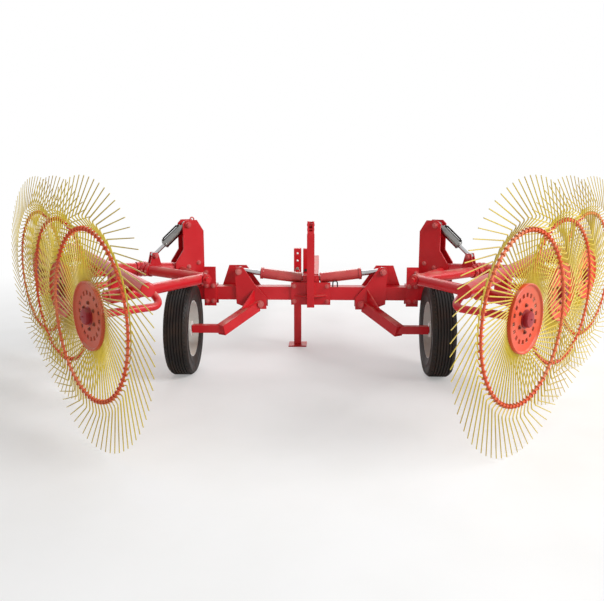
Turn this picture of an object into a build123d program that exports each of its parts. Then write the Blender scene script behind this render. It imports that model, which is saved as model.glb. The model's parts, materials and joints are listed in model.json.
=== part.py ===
from build123d import *
import os
from math import cos, degrees, radians, sin

# Towed V-type finger-wheel hay rake. Millimetres and degrees, +X right, +Y travel, +Z up.
# The origin lies on the ground under the middle of the machine.
# The right half is modelled, and each handed piece is mirrored to the left half.

# Fits
RUN = 0.3                    # radial play of a shaft in its bush
SIDE_PLAY = 7.0              # between a swinging plate and what it straddles
LUG_PLAY = 4.0               # between a cylinder's eye and the lugs beside it
PLATE = 12.0                 # cut plate
PIN_PROUD = 8.0              # a pin's end past its plates
EAR_MARGIN = 32.0            # plate round a lift pin

# Cross-beam and centre mast
BEAM_SIDE = 100.0
BEAM_WALL = 8.0
BEAM_HALF = 880.0
BEAM_OVER_AXLE = 203.0
LUG_MARGIN = 30.0
LUG_TAPER = 8.0
BEARING_WALL = 15.0
MAST_PLATE_WIDTH = 296.0
MAST_PLATE_HEIGHT = 170.0
POST_SIDE = 55.0
POST_DROP = 96.0
POST_RISE = 452.0
RIB_INSET = 25.0
RIB_DROP = 15.0
RIB_DEPTH = 45.0
RIB_THICK = 10.0
CLEVIS_HEIGHT = 92.0
CLEVIS_WIDTH = 50.0
CLEVIS_SLOT = 24.0
CLEVIS_FLOOR = 20.0
CLEVIS_BORE_R = 10.0

# Drawbar and parking stand
DRAWBAR_SIDE = 100.0
DRAWBAR_WALL = 8.0
GUSSET = 160.0
TONGUE_OUT = 210.0
TONGUE_IN = 100.0
TONGUE_THICK = 40.0
TONGUE_WIDTH = 90.0
HITCH_BORE_R = 16.5
STAND_Y = 470.0
STAND_SIDE = 60.0
STAND_PLAY = 1.0
STAND_OVER_BEAM = 287.0
STAND_LIFT = 300.0
SLEEVE_WALL = 9.5
SLEEVE_HEIGHT = 160.0
FOOT_SIZE = 150.0
FOOT_THICK = 10.0
STAND_HOLES = 6
STAND_HOLE_R = 9.0
STAND_HOLE_TOP = 40.0
STAND_SPACER = 28.0          # block between the drawbar and the sleeve
GUIDE_SIDE = 56.0            # upright on the drawbar, beside the leg
GUIDE_RISE = 235.0

# Road wheels
TYRE_R = 330.0
TYRE_SECTION = 130.0
TYRE_WIDTH = 160.0
TYRE_CROWN = 10.0
TYRE_SHOULDER = 26.0
TYRE_BULGE = 45.0
TYRE_BEHIND = 30.0           # tyre's front edge behind the beam's middle
WHEEL_OUT = 20.0             # wheel's middle past the beam's end
RIM_WIDTH = 130.0
RIM_WALL = 6.0
RIM_DISC = 8.0
RIM_DISH = 48.0
ROAD_HUB_R = 55.0
ROAD_HUB_LENGTH = 110.0
ROAD_HUB_END = 12.0
SPINDLE_R = 22.5

# Wheel arms, each a bell crank under the beam
ARM_PIVOT_X = 380.0
ARM_PIVOT_DROP = 28.0        # pivot below the beam's underside
ARM_PIN_R = 15.0
ARM_HEEL = 45.0
ARM_FOOT = 40.0
ARM_WIDTH = 66.0
ARM_HEIGHT = 76.0
KNEE_IN = 280.0
AXLE_SIDE = 54.0
AXLE_GAP = 6.0
ROD_PIN_X = 540.0
ROD_PIN_RISE = 168.0
EAR_SLOPE = 130.0            # rear cheek's inner slope, below its top
FLARE = 112.0                # front cheek's foot past the rear cheek
FLARE_RISE = 85.0
LIFT_PIN_R = 12.5

# Lift cylinders
BASE_PIN_X = 36.0
BASE_PIN_RISE = 107.0
LIFT_BARREL_R = 40.0
LIFT_BARREL_FROM = 32.0
LIFT_BARREL_TO = 346.0
LIFT_FLOOR = 20.0
LIFT_TAIL = 30.0             # rod's tail above the barrel's foot
LIFT_ROD_R = 20.0
LIFT_EYE_R = 26.0
LIFT_EYE_WIDTH = 50.0
GLAND_LENGTH = 18.0
GLAND_WALL = 5.0
NECK_RATIO = 0.8             # eye's neck, of the smaller of its neighbours
EYE_DRIFT = 3.5              # play of a rod's eye on its pin

# Towers and wing hinge
VEE = 30.0                   # hinge and boom, from the line of travel
HINGE_OUT = 120.0
HINGE_OVER_TYRE = 50.0
HINGE_R = 25.0
CHEEK_GAP = 104.0
TOWER_RISE = 370.0
TOWER_IN = 174.0
TOWER_OUT = 46.0
TOWER_FOOT_RISE = 56.0       # cheek's wide foot, above the hinge
TOWER_WAIST_RISE = 150.0     # start of its slim head, above the hinge
HEAD_IN = 126.0
HEAD_OUT = -16.0
HEAD_SLOPE = 78.0
HEAD_CORNER = 26.0
HEAD_BOSS_R = 26.0
BASE_MARGIN = 40.0
CLAMP_FROM_END = 165.0
CLAMP_WIDTH = 90.0
CLAMP_DROP = 45.0
CLAMP_RISE = 140.0           # clamp's rear plate, above the tower's foot
APEX_BACK = 545.0            # apex bush behind the tower, along the hinge
APEX_HALF = 46.0
SHAFT_SPARE = 4.0
COLLAR = 8.0
COLLAR_WALL = 8.0

# Wing cylinders
TOP_PIN_T = -56.0
TOP_PIN_RISE = 336.0
LUG_PIN_T = 192.0
LUG_PIN_RISE = 116.0
LUG_FOOT = 50.0
LUG_EAR = 20.0
WING_PIN_R = 10.0
WING_BARREL_R = 31.0
WING_BARREL_FROM = 36.0
WING_BARREL_TO = 222.0
WING_FLOOR = 8.0
WING_TAIL = 10.0
WING_ROD_R = 14.0
WING_EYE_R = 22.0
WING_EYE_WIDTH = 44.0
WING_STROKE = 64.0

# Rake wheels
RAKE_COUNT = 3
RAKE_OUT = 85.0
RAKE_FIRST_Y = -1700.0
RAKE_STEP = 907.0
RAKE_TOE = 42.5              # wheel plane, from the line of travel
RAKE_GROUND = 3.0            # tine tips above the ground
TINES = 76
TINE_THICK = 7.0
TINE_TIP_R = 700.0
TINE_VALLEY_R = 125.0
TINE_BEND_ANGLE = 26.0       # round the wheel, from the hub to the bend at the hoop
TINE_TIP_ANGLE = 12.0        # round the wheel, from the hub to the tip
RIM_R = 440.0
HOOP_WIDTH = 14.0
HOOP_THICK = 9.0
HUB_DISC_R = 178.0
HUB_DISC = 5.0
HUB_CORE_R = 62.0
HUB_BEARING_R = 46.0
HUB_BEARING_LENGTH = 62.0
HUB_CAP_R = 42.0
HUB_CAP = 34.0

# Wing frame
BOOM_R = 38.0
BOOM_OVER_HUB = 137.0
BOOM_SET = 260.0             # boom ahead of the hubs, along the wheel's axis
BOOM_REAR_RATIO = -0.25      # boom ends, in rake wheel steps
BOOM_FRONT_RATIO = 2.3
LIFT_ARM_R = 45.0
LIFT_ARM_RISE = 5.0
LIFT_ARM_DROP = 95.0         # lift arm below the boom
LIFT_ARM_PAST = 30.0
BRACE_R = 36.0
BRACE_DROP = 150.0           # rear leg's end below the boom
BRACE_PAST = 40.0
BRACE_REAR_RATIO = 0.55      # rear leg's end on the boom, in rake wheel steps
BRACE_FRONT_T = 310.0        # front leg's end on the lift arm, out from the hinge
BAND_WIDTH = 26.0
BAND_WALL = 8.0
BAND_GAP = 14.0
SADDLE_LENGTH = 96.0
BUSH_WALL = 11.0
HINGE_BUSH_WALL = 21.0
APEX_BUSH_WALL = 11.0
CRANK_R = 21.0
CRANK_REACH = 400.0
CRANK_OFFSET = 105.0
CRANK_RISE = 71.0
CRANK_BEND_R = 52.0
CRANK_END = 120.0
CRANK_BUSH_INSET = 25.0
CRANK_TIP = 12.0             # crank's end behind the rake wheel's middle

# Heights and places of the right half
BEAM_Z = TYRE_R + BEAM_OVER_AXLE
BEAM_TOP = BEAM_Z + BEAM_SIDE / 2
BEAM_LOW = BEAM_Z - BEAM_SIDE / 2
POST_TOP = BEAM_Z + POST_RISE
STAND_TOP = BEAM_Z + STAND_OVER_BEAM
SLEEVE_SIDE = STAND_SIDE + STAND_PLAY + 2 * SLEEVE_WALL
STAND_X = -(DRAWBAR_SIDE + SLEEVE_SIDE) / 2 - STAND_SPACER
BEAD_R = TYRE_R - TYRE_SECTION
ROAD_WHEEL_X = BEAM_HALF + WHEEL_OUT
ROAD_WHEEL_Y = -TYRE_R - TYRE_BEHIND
ARM_PIVOT_Z = BEAM_LOW - ARM_PIVOT_DROP
ROD_PIN_Z = BEAM_Z + ROD_PIN_RISE
BASE_PIN_Z = BEAM_Z + BASE_PIN_RISE
HINGE_X = BEAM_HALF + HINGE_OUT
HINGE_Z = 2 * TYRE_R + HINGE_OVER_TYRE
TOP_PIN_Z = HINGE_Z + TOP_PIN_RISE
LUG_PIN_Z = HINGE_Z + LUG_PIN_RISE
RAKE_Z = TINE_TIP_R + RAKE_GROUND
BOOM_Z = RAKE_Z + BOOM_OVER_HUB
CRANK_PIVOT_Z = RAKE_Z + CRANK_RISE
CHEEK_IN = BEAM_SIDE / 2 + SIDE_PLAY
REAR_REACH = -RAKE_FIRST_Y + TINE_TIP_R * cos(radians(RAKE_TOE))
UP = Vector(0, 0, 1)
ALONG = Vector(sin(radians(VEE)), cos(radians(VEE)), 0)          # hinge and boom, forward
OUTWARD = Vector(cos(radians(VEE)), -sin(radians(VEE)), 0)       # square to the hinge
IN_WHEEL = Vector(sin(radians(RAKE_TOE)), cos(radians(RAKE_TOE)), 0)
AXLE_IN = Vector(-cos(radians(RAKE_TOE)), sin(radians(RAKE_TOE)), 0)
HINGE_FOOT = Vector(HINGE_X, 0, 0)
BOOM_T = (Vector(RAKE_OUT, RAKE_FIRST_Y, 0) + AXLE_IN * BOOM_SET).dot(OUTWARD)
HINGE = HINGE_FOOT + UP * HINGE_Z
APEX = HINGE - ALONG * APEX_BACK


def hub_place(step):
    """Centre of a rake wheel, or a point between wheels, counted from the rear one."""
    first = Vector(HINGE_X + RAKE_OUT, RAKE_FIRST_Y, RAKE_Z)
    return first + ALONG * (RAKE_STEP * step)


def boom_place(step, height=BOOM_Z):
    """Point of the boom beside a rake wheel, or between wheels."""
    spot = hub_place(step) + AXLE_IN * BOOM_SET
    return Vector(spot.X, spot.Y, height)


def round_bar(start, end, radius):
    """Round bar between two points."""
    axis = end - start
    return extrude(Plane(start, z_dir=axis) * Circle(radius), axis.length)


def flat_bar(start, end, width, height):
    """Rectangular bar between two points, its width level."""
    axis = end - start
    level = UP.cross(axis)
    return extrude(Plane(start, x_dir=level, z_dir=axis) * Rectangle(width, height), axis.length)


def plate(plane, outline, thickness):
    """Plate of a straight-sided outline, raised along the plane's normal."""
    return extrude(plane * make_face(Polyline(*outline, close=True)), thickness)


def block(low, high):
    """Rectangular block between two corners."""
    size = high - low
    return Pos((low + high) * 0.5) * Box(size.X, size.Y, size.Z)


def square_tube(start, end, side, wall):
    """Open square tube between two points."""
    outer = flat_bar(start, end, side, side)
    return outer - flat_bar(start, end, side - 2 * wall, side - 2 * wall)


def bent_tube(points, radius, bend):
    """Round bar along straight runs joined by tangent arcs."""
    path = FilletPolyline(*points, radius=bend)
    return sweep(Plane(path @ 0, z_dir=path % 0) * Circle(radius), path=path)


def cylinder_half(pin, toward, across, reach, radius, eye, bore):
    """Round body along a cylinder's line, with an eye round the pin that it starts from."""
    from_s, to_s = reach
    eye_r, eye_width = eye
    line = (toward - pin).normalized()
    half = across * (eye_width / 2)
    body = round_bar(pin + line * from_s, pin + line * to_s, radius)
    body += round_bar(pin - half, pin + half, eye_r)
    neck_r = min(radius, eye_r) * NECK_RATIO
    body += round_bar(pin, pin + line * (from_s + 1), neck_r)
    return body - round_bar(pin - half * 2, pin + half * 2, bore)


def cross_beam():
    """Square beam with the lift lugs on top and the wheel-arm bearings below."""
    end = Vector(BEAM_HALF, 0, 0)
    middle = Vector(0, 0, BEAM_Z)
    beam = square_tube(middle - end, middle + end, BEAM_SIDE, BEAM_WALL)
    gap = LIFT_EYE_WIDTH / 2 + LUG_PLAY
    half = BASE_PIN_X + LUG_MARGIN
    top = BASE_PIN_Z + LUG_MARGIN
    ear = [(-half, BEAM_TOP), (half, BEAM_TOP), (half - LUG_TAPER, top), (LUG_TAPER - half, top)]
    for y in (-gap, gap + PLATE):
        beam += plate(Plane.XZ.offset(-y), ear, PLATE)
    reach = Vector(0, gap + PLATE + PIN_PROUD, 0)
    across = Vector(0, BEAM_SIDE, 0)
    wall = ARM_PIN_R + BEARING_WALL
    for side in (-1, 1):
        pin = Vector(side * BASE_PIN_X, 0, BASE_PIN_Z)
        beam += round_bar(pin - reach, pin + reach, LIFT_PIN_R)
        pivot = Vector(side * ARM_PIVOT_X, 0, ARM_PIVOT_Z)
        low = pivot - Vector(wall, BEAM_SIDE / 2, wall)
        high = Vector(pivot.X + wall, BEAM_SIDE / 2, BEAM_LOW)
        beam += block(low, high) - round_bar(pivot - across, pivot + across, ARM_PIN_R + RUN)
    return beam


def centre_mast():
    """Plate on the rear of the beam with an upright post and a two-eared head on its top."""
    rear = -BEAM_SIDE / 2
    face = rear - PLATE
    half = MAST_PLATE_WIDTH / 2
    low = BEAM_Z - MAST_PLATE_HEIGHT / 2
    mast = block(Vector(-half, face, low), Vector(half, rear, low + MAST_PLATE_HEIGHT))
    rib_half = half - RIB_INSET
    half = POST_SIDE / 2
    mast += block(Vector(-half, face - POST_SIDE, BEAM_Z - POST_DROP), Vector(half, face, POST_TOP))
    back = face - RIB_DEPTH
    rib = [(-rib_half, face), (rib_half, face), (half, back), (-half, back)]
    mast += plate(Plane.XY.offset(BEAM_Z - RIB_DROP - RIB_THICK / 2), rib, RIB_THICK)
    top = POST_TOP + CLEVIS_HEIGHT
    mid = face - POST_SIDE / 2
    half = CLEVIS_WIDTH / 2
    slot = CLEVIS_SLOT / 2
    head = block(Vector(-half, mid - half, POST_TOP), Vector(half, mid + half, top))
    floor = POST_TOP + CLEVIS_FLOOR
    head -= block(Vector(-slot, mid - POST_SIDE, floor), Vector(slot, mid + POST_SIDE, top + PLATE))
    eye = Vector(0, mid, top - half)
    across = Vector(POST_SIDE, 0, 0)
    return mast + head - round_bar(eye - across, eye + across, CLEVIS_BORE_R)


def drawbar():
    """Square tube forward from the beam, with a flat tongue bored for the hitch pin."""
    rear = BEAM_SIDE / 2
    front = REAR_REACH - TONGUE_OUT
    bar = square_tube(Vector(0, rear, BEAM_Z), Vector(0, front, BEAM_Z), DRAWBAR_SIDE, DRAWBAR_WALL)
    half = TONGUE_WIDTH / 2
    end = REAR_REACH - half
    low = BEAM_Z - TONGUE_THICK / 2
    high = low + TONGUE_THICK
    inner = DRAWBAR_SIDE / 2 - DRAWBAR_WALL
    tongue = block(Vector(-inner, front - TONGUE_IN, low), Vector(inner, front, high))
    tongue += block(Vector(-half, front, low), Vector(half, end, high))
    tongue += Pos(0, end, BEAM_Z) * Cylinder(half, TONGUE_THICK)
    tongue -= Pos(0, end, BEAM_Z) * Cylinder(HITCH_BORE_R, 2 * TONGUE_THICK)
    side = DRAWBAR_SIDE / 2
    corner = [(side, rear + GUSSET), (side, rear), (side + GUSSET, rear)]
    gusset = plate(Plane.XY.offset(BEAM_Z - PLATE / 2), corner, PLATE)
    return bar + tongue + gusset + mirror(gusset, about=Plane.YZ)


def stand_sleeve():
    """Square sleeve for the parking stand, on a spacer with an upright beside it."""
    inner = STAND_SIDE + STAND_PLAY
    sleeve = Box(SLEEVE_SIDE, SLEEVE_SIDE, SLEEVE_HEIGHT) - Box(inner, inner, SLEEVE_HEIGHT)
    place = Vector(STAND_X, STAND_Y, BEAM_Z)
    edge = -DRAWBAR_SIDE / 2
    side = SLEEVE_SIDE / 2
    low = Vector(edge - STAND_SPACER, STAND_Y - side, BEAM_LOW)
    spacer = block(low, Vector(edge, STAND_Y + side, BEAM_TOP))
    half = GUIDE_SIDE / 2
    low = Vector(edge - STAND_SPACER + PLATE / 2, STAND_Y - half, BEAM_Z + DRAWBAR_SIDE / 2)
    guide = block(low, low + Vector(GUIDE_SIDE, GUIDE_SIDE, GUIDE_RISE))
    return Pos(place) * sleeve + spacer + guide


def stand_leg():
    """Parking stand: a pierced square leg on a foot plate."""
    foot = Vector(STAND_X, STAND_Y, 0)
    half = Vector(STAND_SIDE / 2, STAND_SIDE / 2, 0)
    leg = block(foot - half, foot + half + UP * STAND_TOP)
    half = Vector(FOOT_SIZE / 2, FOOT_SIZE / 2, 0)
    leg += block(foot - half, foot + half + UP * FOOT_THICK)
    reach = Vector(0, STAND_SIDE, 0)
    step = STAND_LIFT / (STAND_HOLES - 1)
    for number in range(STAND_HOLES):
        hole = foot + UP * (STAND_TOP - STAND_HOLE_TOP - number * step)
        leg -= round_bar(hole - reach, hole + reach, STAND_HOLE_R)
    return leg


def tower():
    """Upright at the beam's end: two cheeks square to the hinge, a web, a base and a clamp."""
    low = BEAM_TOP + PLATE
    top = HINGE_Z + TOWER_RISE
    slope = top - HEAD_SLOPE
    cheek = [
        (-TOWER_IN, low),
        (TOWER_OUT, low),
        (TOWER_OUT, HINGE_Z + TOWER_FOOT_RISE),
        (HEAD_OUT, HINGE_Z + TOWER_WAIST_RISE),
        (HEAD_OUT, top - HEAD_CORNER),
        (HEAD_OUT - HEAD_CORNER, top),
        (-HEAD_IN, top),
        (-TOWER_IN, slope),
    ]
    square = Plane(HINGE_FOOT, x_dir=OUTWARD, z_dir=-ALONG)
    half = CHEEK_GAP / 2
    body = plate(square.offset(half), cheek, PLATE)
    body += plate(square.offset(-half - PLATE), cheek, PLATE)
    web_out = PLATE - TOWER_IN
    web = [(-TOWER_IN, low), (web_out, low), (web_out, slope), (-TOWER_IN, slope)]
    body += plate(square.offset(-half), web, CHEEK_GAP)
    reach = half + PLATE + BASE_MARGIN
    inner = -TOWER_IN - BASE_MARGIN
    outer = TOWER_OUT + PLATE
    flat = [(inner, -reach), (outer, -reach), (outer, reach), (inner, reach)]
    body += plate(Plane(HINGE_FOOT + UP * BEAM_TOP, x_dir=OUTWARD, z_dir=UP), flat, PLATE)
    clamp_in = BEAM_HALF - CLAMP_FROM_END
    clamp_out = clamp_in + CLAMP_WIDTH
    side = BEAM_SIDE / 2
    body += block(Vector(clamp_in, -side - PLATE, BEAM_TOP), Vector(HINGE_X - TOWER_IN, side + PLATE, low))
    for y, head in ((-side - PLATE, low + CLAMP_RISE), (side, low)):
        body += block(Vector(clamp_in, y, BEAM_LOW - CLAMP_DROP), Vector(clamp_out, y + PLATE, head))
    through = ALONG * (half + 2 * PLATE)
    body -= round_bar(HINGE - through, HINGE + through, HINGE_R + RUN / 2)
    pin = HINGE_FOOT + OUTWARD * TOP_PIN_T + UP * TOP_PIN_Z
    cheek_out = ALONG * (half + PLATE)
    proud = ALONG * (half + PLATE + PIN_PROUD)
    body += round_bar(pin - proud, pin - cheek_out, HEAD_BOSS_R)
    body += round_bar(pin + cheek_out, pin + proud, HEAD_BOSS_R)
    return body + round_bar(pin - proud, pin + proud, LIFT_PIN_R)


def hinge_shaft():
    """Long hinge shaft through the tower's cheeks, out over the tyre to the apex bush."""
    front = HINGE + ALONG * (CHEEK_GAP / 2 + PLATE)
    rear = APEX - ALONG * (APEX_HALF + SHAFT_SPARE)
    collar_r = HINGE_R + COLLAR_WALL
    shaft = round_bar(rear, front, HINGE_R)
    shaft += round_bar(front, front + ALONG * COLLAR, collar_r)
    return shaft + round_bar(rear - ALONG * COLLAR, rear, collar_r)


def wheel_arm():
    """Bell crank: two cheeks astride the beam, a box arm out and back, and the wheel's axle."""
    heel = ARM_PIVOT_X - ARM_HEEL
    foot = ARM_PIVOT_Z - ARM_FOOT
    inner = ROD_PIN_X - EAR_MARGIN
    outer = ROD_PIN_X + EAR_MARGIN
    top = ROD_PIN_Z + EAR_MARGIN
    shoulder = ARM_PIVOT_Z + ARM_FOOT + PLATE
    rear_cheek = [
        (heel, foot),
        (ARM_PIVOT_X + ARM_FOOT * 2, foot),
        (outer - PLATE, ARM_PIVOT_Z),
        (outer, top - PLATE),
        (outer - PLATE, top),
        (inner, top),
        ((inner + heel) / 2, top - EAR_SLOPE),
        (heel, shoulder),
    ]
    front_cheek = [
        (heel, foot),
        (ARM_PIVOT_X + ARM_FOOT, foot),
        (outer + FLARE, BEAM_TOP - FLARE_RISE),
        (outer + FLARE, BEAM_TOP - PLATE),
        (outer + FLARE / 2, top),
        (inner - PLATE, top),
        (heel, shoulder),
    ]
    arm = plate(Plane.XZ.offset(CHEEK_IN), rear_cheek, PLATE)
    arm += plate(Plane.XZ.offset(-CHEEK_IN - PLATE), front_cheek, PLATE)
    across = Vector(0, CHEEK_IN + PLATE + PIN_PROUD, 0)
    pivot = Vector(ARM_PIVOT_X, 0, ARM_PIVOT_Z)
    rod_pin = Vector(ROD_PIN_X, 0, ROD_PIN_Z)
    for pin, radius in ((pivot, ARM_PIN_R), (rod_pin, LIFT_PIN_R)):
        arm += round_bar(pin - across, pin + across, radius)
    knee = Vector(ROAD_WHEEL_X - KNEE_IN, ROAD_WHEEL_Y, TYRE_R)
    run = (knee - pivot).normalized()
    limb = flat_bar(pivot, knee + run * (AXLE_SIDE / 2), ARM_WIDTH, ARM_HEIGHT)
    behind = -CHEEK_IN - PLATE / 2
    keep = block(Vector(0, ROAD_WHEEL_Y - ARM_HEIGHT, 0), Vector(ROAD_WHEEL_X, behind, BEAM_TOP))
    arm += limb & keep
    hub_half = ROAD_HUB_LENGTH / 2
    axle = Vector(ROAD_WHEEL_X, ROAD_WHEEL_Y, TYRE_R)
    arm += flat_bar(knee, axle - Vector(hub_half + AXLE_GAP, 0, 0), AXLE_SIDE, AXLE_SIDE)
    return arm + round_bar(knee, axle + Vector(hub_half - ROAD_HUB_END - 2, 0, 0), SPINDLE_R)


def road_wheel_parts():
    """Tyre and rim with its hub, turned about the axle."""
    half = TYRE_WIDTH / 2
    seat = RIM_WIDTH / 2
    tread = TYRE_R - TYRE_CROWN
    wall = [
        (seat, BEAD_R),
        (half, BEAD_R + TYRE_BULGE),
        (half, tread - TYRE_SHOULDER),
        (half - TYRE_SHOULDER, tread),
        (half - 2 * TYRE_SHOULDER, TYRE_R),
    ]
    section = wall + [(-x, r) for x, r in reversed(wall)]
    tyre = revolve(make_face(Polyline(*section, close=True)), Axis.X)
    bead = BEAD_R - RUN
    inner = bead - RIM_WALL
    disc = seat - RIM_DISH
    hub = ROAD_HUB_LENGTH / 2
    bore = SPINDLE_R + RUN
    floor = hub - ROAD_HUB_END
    rim = [
        (-seat, bead),
        (-seat, inner),
        (disc, inner),
        (disc, ROAD_HUB_R),
        (-hub, ROAD_HUB_R),
        (-hub, bore),
        (floor, bore),
        (floor, 0),
        (hub, 0),
        (hub, ROAD_HUB_R),
        (disc + RIM_DISC, ROAD_HUB_R),
        (disc + RIM_DISC, inner),
        (seat, inner),
        (seat, bead),
    ]
    wheel = revolve(make_face(Polyline(*rim, close=True)), Axis.X)
    place = Pos(ROAD_WHEEL_X, ROAD_WHEEL_Y, TYRE_R)
    return place * tyre, place * wheel


def lift_cylinder_parts():
    """Lift cylinder: barrel on the beam's lug, rod on the bell crank's pin."""
    base = Vector(BASE_PIN_X, 0, BASE_PIN_Z)
    pin = Vector(ROD_PIN_X, 0, ROD_PIN_Z)
    across = Vector(0, 1, 0)
    line = (pin - base).normalized()
    length = (pin - base).length
    eye = (LIFT_EYE_R, LIFT_EYE_WIDTH)
    reach = (LIFT_BARREL_FROM, LIFT_BARREL_TO)
    barrel = cylinder_half(base, pin, across, reach, LIFT_BARREL_R, eye, LIFT_PIN_R + RUN)
    mouth = base + line * LIFT_BARREL_TO
    barrel += round_bar(mouth - line * GLAND_LENGTH, mouth, LIFT_BARREL_R + GLAND_WALL)
    floor = base + line * (LIFT_BARREL_FROM + LIFT_FLOOR)
    barrel -= round_bar(floor, pin, LIFT_ROD_R + RUN)
    reach = (LIFT_EYE_R, length - LIFT_BARREL_FROM - LIFT_TAIL)
    rod = cylinder_half(pin, base, across, reach, LIFT_ROD_R, eye, LIFT_PIN_R + EYE_DRIFT)
    return barrel, rod


def wing_cylinder_parts():
    """Wing cylinder: barrel in the tower's head, rod on the lift arm's lug."""
    top = HINGE_FOOT + OUTWARD * TOP_PIN_T + UP * TOP_PIN_Z
    lug = HINGE_FOOT + OUTWARD * LUG_PIN_T + UP * LUG_PIN_Z
    line = (lug - top).normalized()
    length = (lug - top).length
    eye = (WING_EYE_R, WING_EYE_WIDTH)
    reach = (WING_BARREL_FROM, WING_BARREL_TO)
    barrel = cylinder_half(top, lug, ALONG, reach, WING_BARREL_R, eye, LIFT_PIN_R + RUN)
    floor = top + line * (WING_BARREL_FROM + WING_FLOOR)
    barrel -= round_bar(floor, lug, WING_ROD_R + RUN)
    reach = (WING_EYE_R, length - WING_BARREL_FROM - WING_TAIL - WING_STROKE)
    rod = cylinder_half(lug, top, ALONG, reach, WING_ROD_R, eye, WING_PIN_R + EYE_DRIFT)
    return barrel, rod


def boom_core():
    """The boom's round tube."""
    return round_bar(boom_place(BOOM_REAR_RATIO), boom_place(BOOM_FRONT_RATIO), BOOM_R)


def saddle(step, low):
    """Block under the boom, hollowed to its round, for a tube that passes beneath."""
    height = BOOM_Z - low
    start = boom_place(step, low + height / 2) - ALONG * (SADDLE_LENGTH / 2)
    frame = Plane(start, x_dir=OUTWARD, z_dir=ALONG)
    return extrude(frame * Rectangle(2 * BOOM_R, height), SADDLE_LENGTH) - boom_core()


def wing_boom():
    """Boom tube with a bush under it for each rake wheel's crank."""
    boom = boom_core()
    rear = CRANK_END + CRANK_BUSH_INSET
    front = CRANK_REACH - CRANK_BEND_R - CRANK_BUSH_INSET
    for number in range(RAKE_COUNT):
        start = crank_point(number, rear, CRANK_OFFSET, CRANK_PIVOT_Z)
        end = crank_point(number, front, CRANK_OFFSET, CRANK_PIVOT_Z)
        boom += round_bar(start, end, CRANK_R + BUSH_WALL)
        boom -= round_bar(start - AXLE_IN, end + AXLE_IN, CRANK_R + RUN)
    return boom


def lift_arm_spot(out):
    """Point on the lift arm's middle, at a distance out from the hinge."""
    start = HINGE_Z + LIFT_ARM_RISE
    climb = (BOOM_Z - LIFT_ARM_DROP - start) / BOOM_T
    return HINGE_FOOT + OUTWARD * out + UP * (start + climb * out)


def lift_arm_core():
    """The lift arm's round tube, from the hinge to past the boom."""
    return round_bar(lift_arm_spot(HINGE_R), lift_arm_spot(BOOM_T + BOOM_R + LIFT_ARM_PAST), LIFT_ARM_R)


def wing_lift_arm():
    """Arm from the hinge out under the boom, with the cylinder's lug on it."""
    arm = lift_arm_core()
    under = lift_arm_spot(BOOM_T)
    bush_half = ALONG * (CHEEK_GAP / 2 - SIDE_PLAY + 1)
    arm += round_bar(HINGE - bush_half, HINGE + bush_half, HINGE_R + HINGE_BUSH_WALL)
    arm += saddle((under - boom_place(0)).dot(ALONG) / RAKE_STEP, under.Z)
    root = lift_arm_spot(LUG_PIN_T).Z
    top = LUG_PIN_Z + LUG_EAR
    ear = [
        (LUG_PIN_T - LUG_FOOT, root),
        (LUG_PIN_T + LUG_FOOT, root),
        (LUG_PIN_T + LUG_EAR, top),
        (LUG_PIN_T - LUG_EAR, top),
    ]
    square = Plane(HINGE_FOOT, x_dir=OUTWARD, z_dir=-ALONG)
    gap = WING_EYE_WIDTH / 2 + LUG_PLAY
    arm += plate(square.offset(gap), ear, PLATE)
    arm += plate(square.offset(-gap - PLATE), ear, PLATE)
    pin = HINGE_FOOT + OUTWARD * LUG_PIN_T + UP * LUG_PIN_Z
    reach = ALONG * (gap + PLATE + PIN_PROUD)
    arm += round_bar(pin - reach, pin + reach, WING_PIN_R)
    return arm - round_bar(HINGE - ALONG * CHEEK_GAP, HINGE + ALONG * CHEEK_GAP, HINGE_R + RUN)


def wing_brace_parts():
    """Hairpin brace: front leg with the apex bush to the lift arm, rear leg to the boom."""
    half = ALONG * APEX_HALF
    bush = round_bar(APEX - half, APEX + half, HINGE_R + APEX_BUSH_WALL)
    bore = round_bar(APEX - half * 3, APEX + half * 3, HINGE_R + RUN)
    bore += round_bar(APEX - half * 3, APEX - half, HINGE_R + COLLAR_WALL + SHAFT_SPARE)
    end = lift_arm_spot(BRACE_FRONT_T)
    run = (end - APEX).normalized()
    front = round_bar(APEX, end, BRACE_R)
    for number in (1, 2):
        band = end - run * (LIFT_ARM_R + number * (BAND_WIDTH + BAND_GAP))
        front += round_bar(band, band + run * BAND_WIDTH, BRACE_R + BAND_WALL)
    front = front + bush - bore - lift_arm_core()
    low = BOOM_Z - BRACE_DROP
    end = boom_place(BRACE_REAR_RATIO, low)
    run = (end - APEX).normalized()
    rear = round_bar(APEX, end + run * BRACE_PAST, BRACE_R) - bush - bore - front
    rear = max(rear.solids(), key=solid_size) + saddle(BRACE_REAR_RATIO, low)
    return max(front.solids(), key=solid_size), rear


def solid_size(solid):
    """Volume of a solid, to pick the largest."""
    return solid.volume


def crank_point(number, along_axle, offset, height):
    """Point by a rake wheel: ahead along its axle, out in its plane, and at a height."""
    spot = hub_place(number) + AXLE_IN * along_axle + IN_WHEEL * offset
    return Vector(spot.X, spot.Y, height)


def rake_crank(number):
    """Hairpin crank: spindle in the rake wheel's hub, tight bend, and pivot leg in its bush."""
    points = [
        crank_point(number, -CRANK_TIP, 0, RAKE_Z),
        crank_point(number, CRANK_REACH, 0, RAKE_Z),
        crank_point(number, CRANK_REACH, CRANK_OFFSET, CRANK_PIVOT_Z),
        crank_point(number, CRANK_END, CRANK_OFFSET, CRANK_PIVOT_Z),
    ]
    return bent_tube(points, CRANK_R, CRANK_BEND_R)


def on_circle(radius, angle):
    """Point at a radius and an angle in degrees."""
    return (radius * cos(radians(angle)), radius * sin(radians(angle)))


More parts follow.
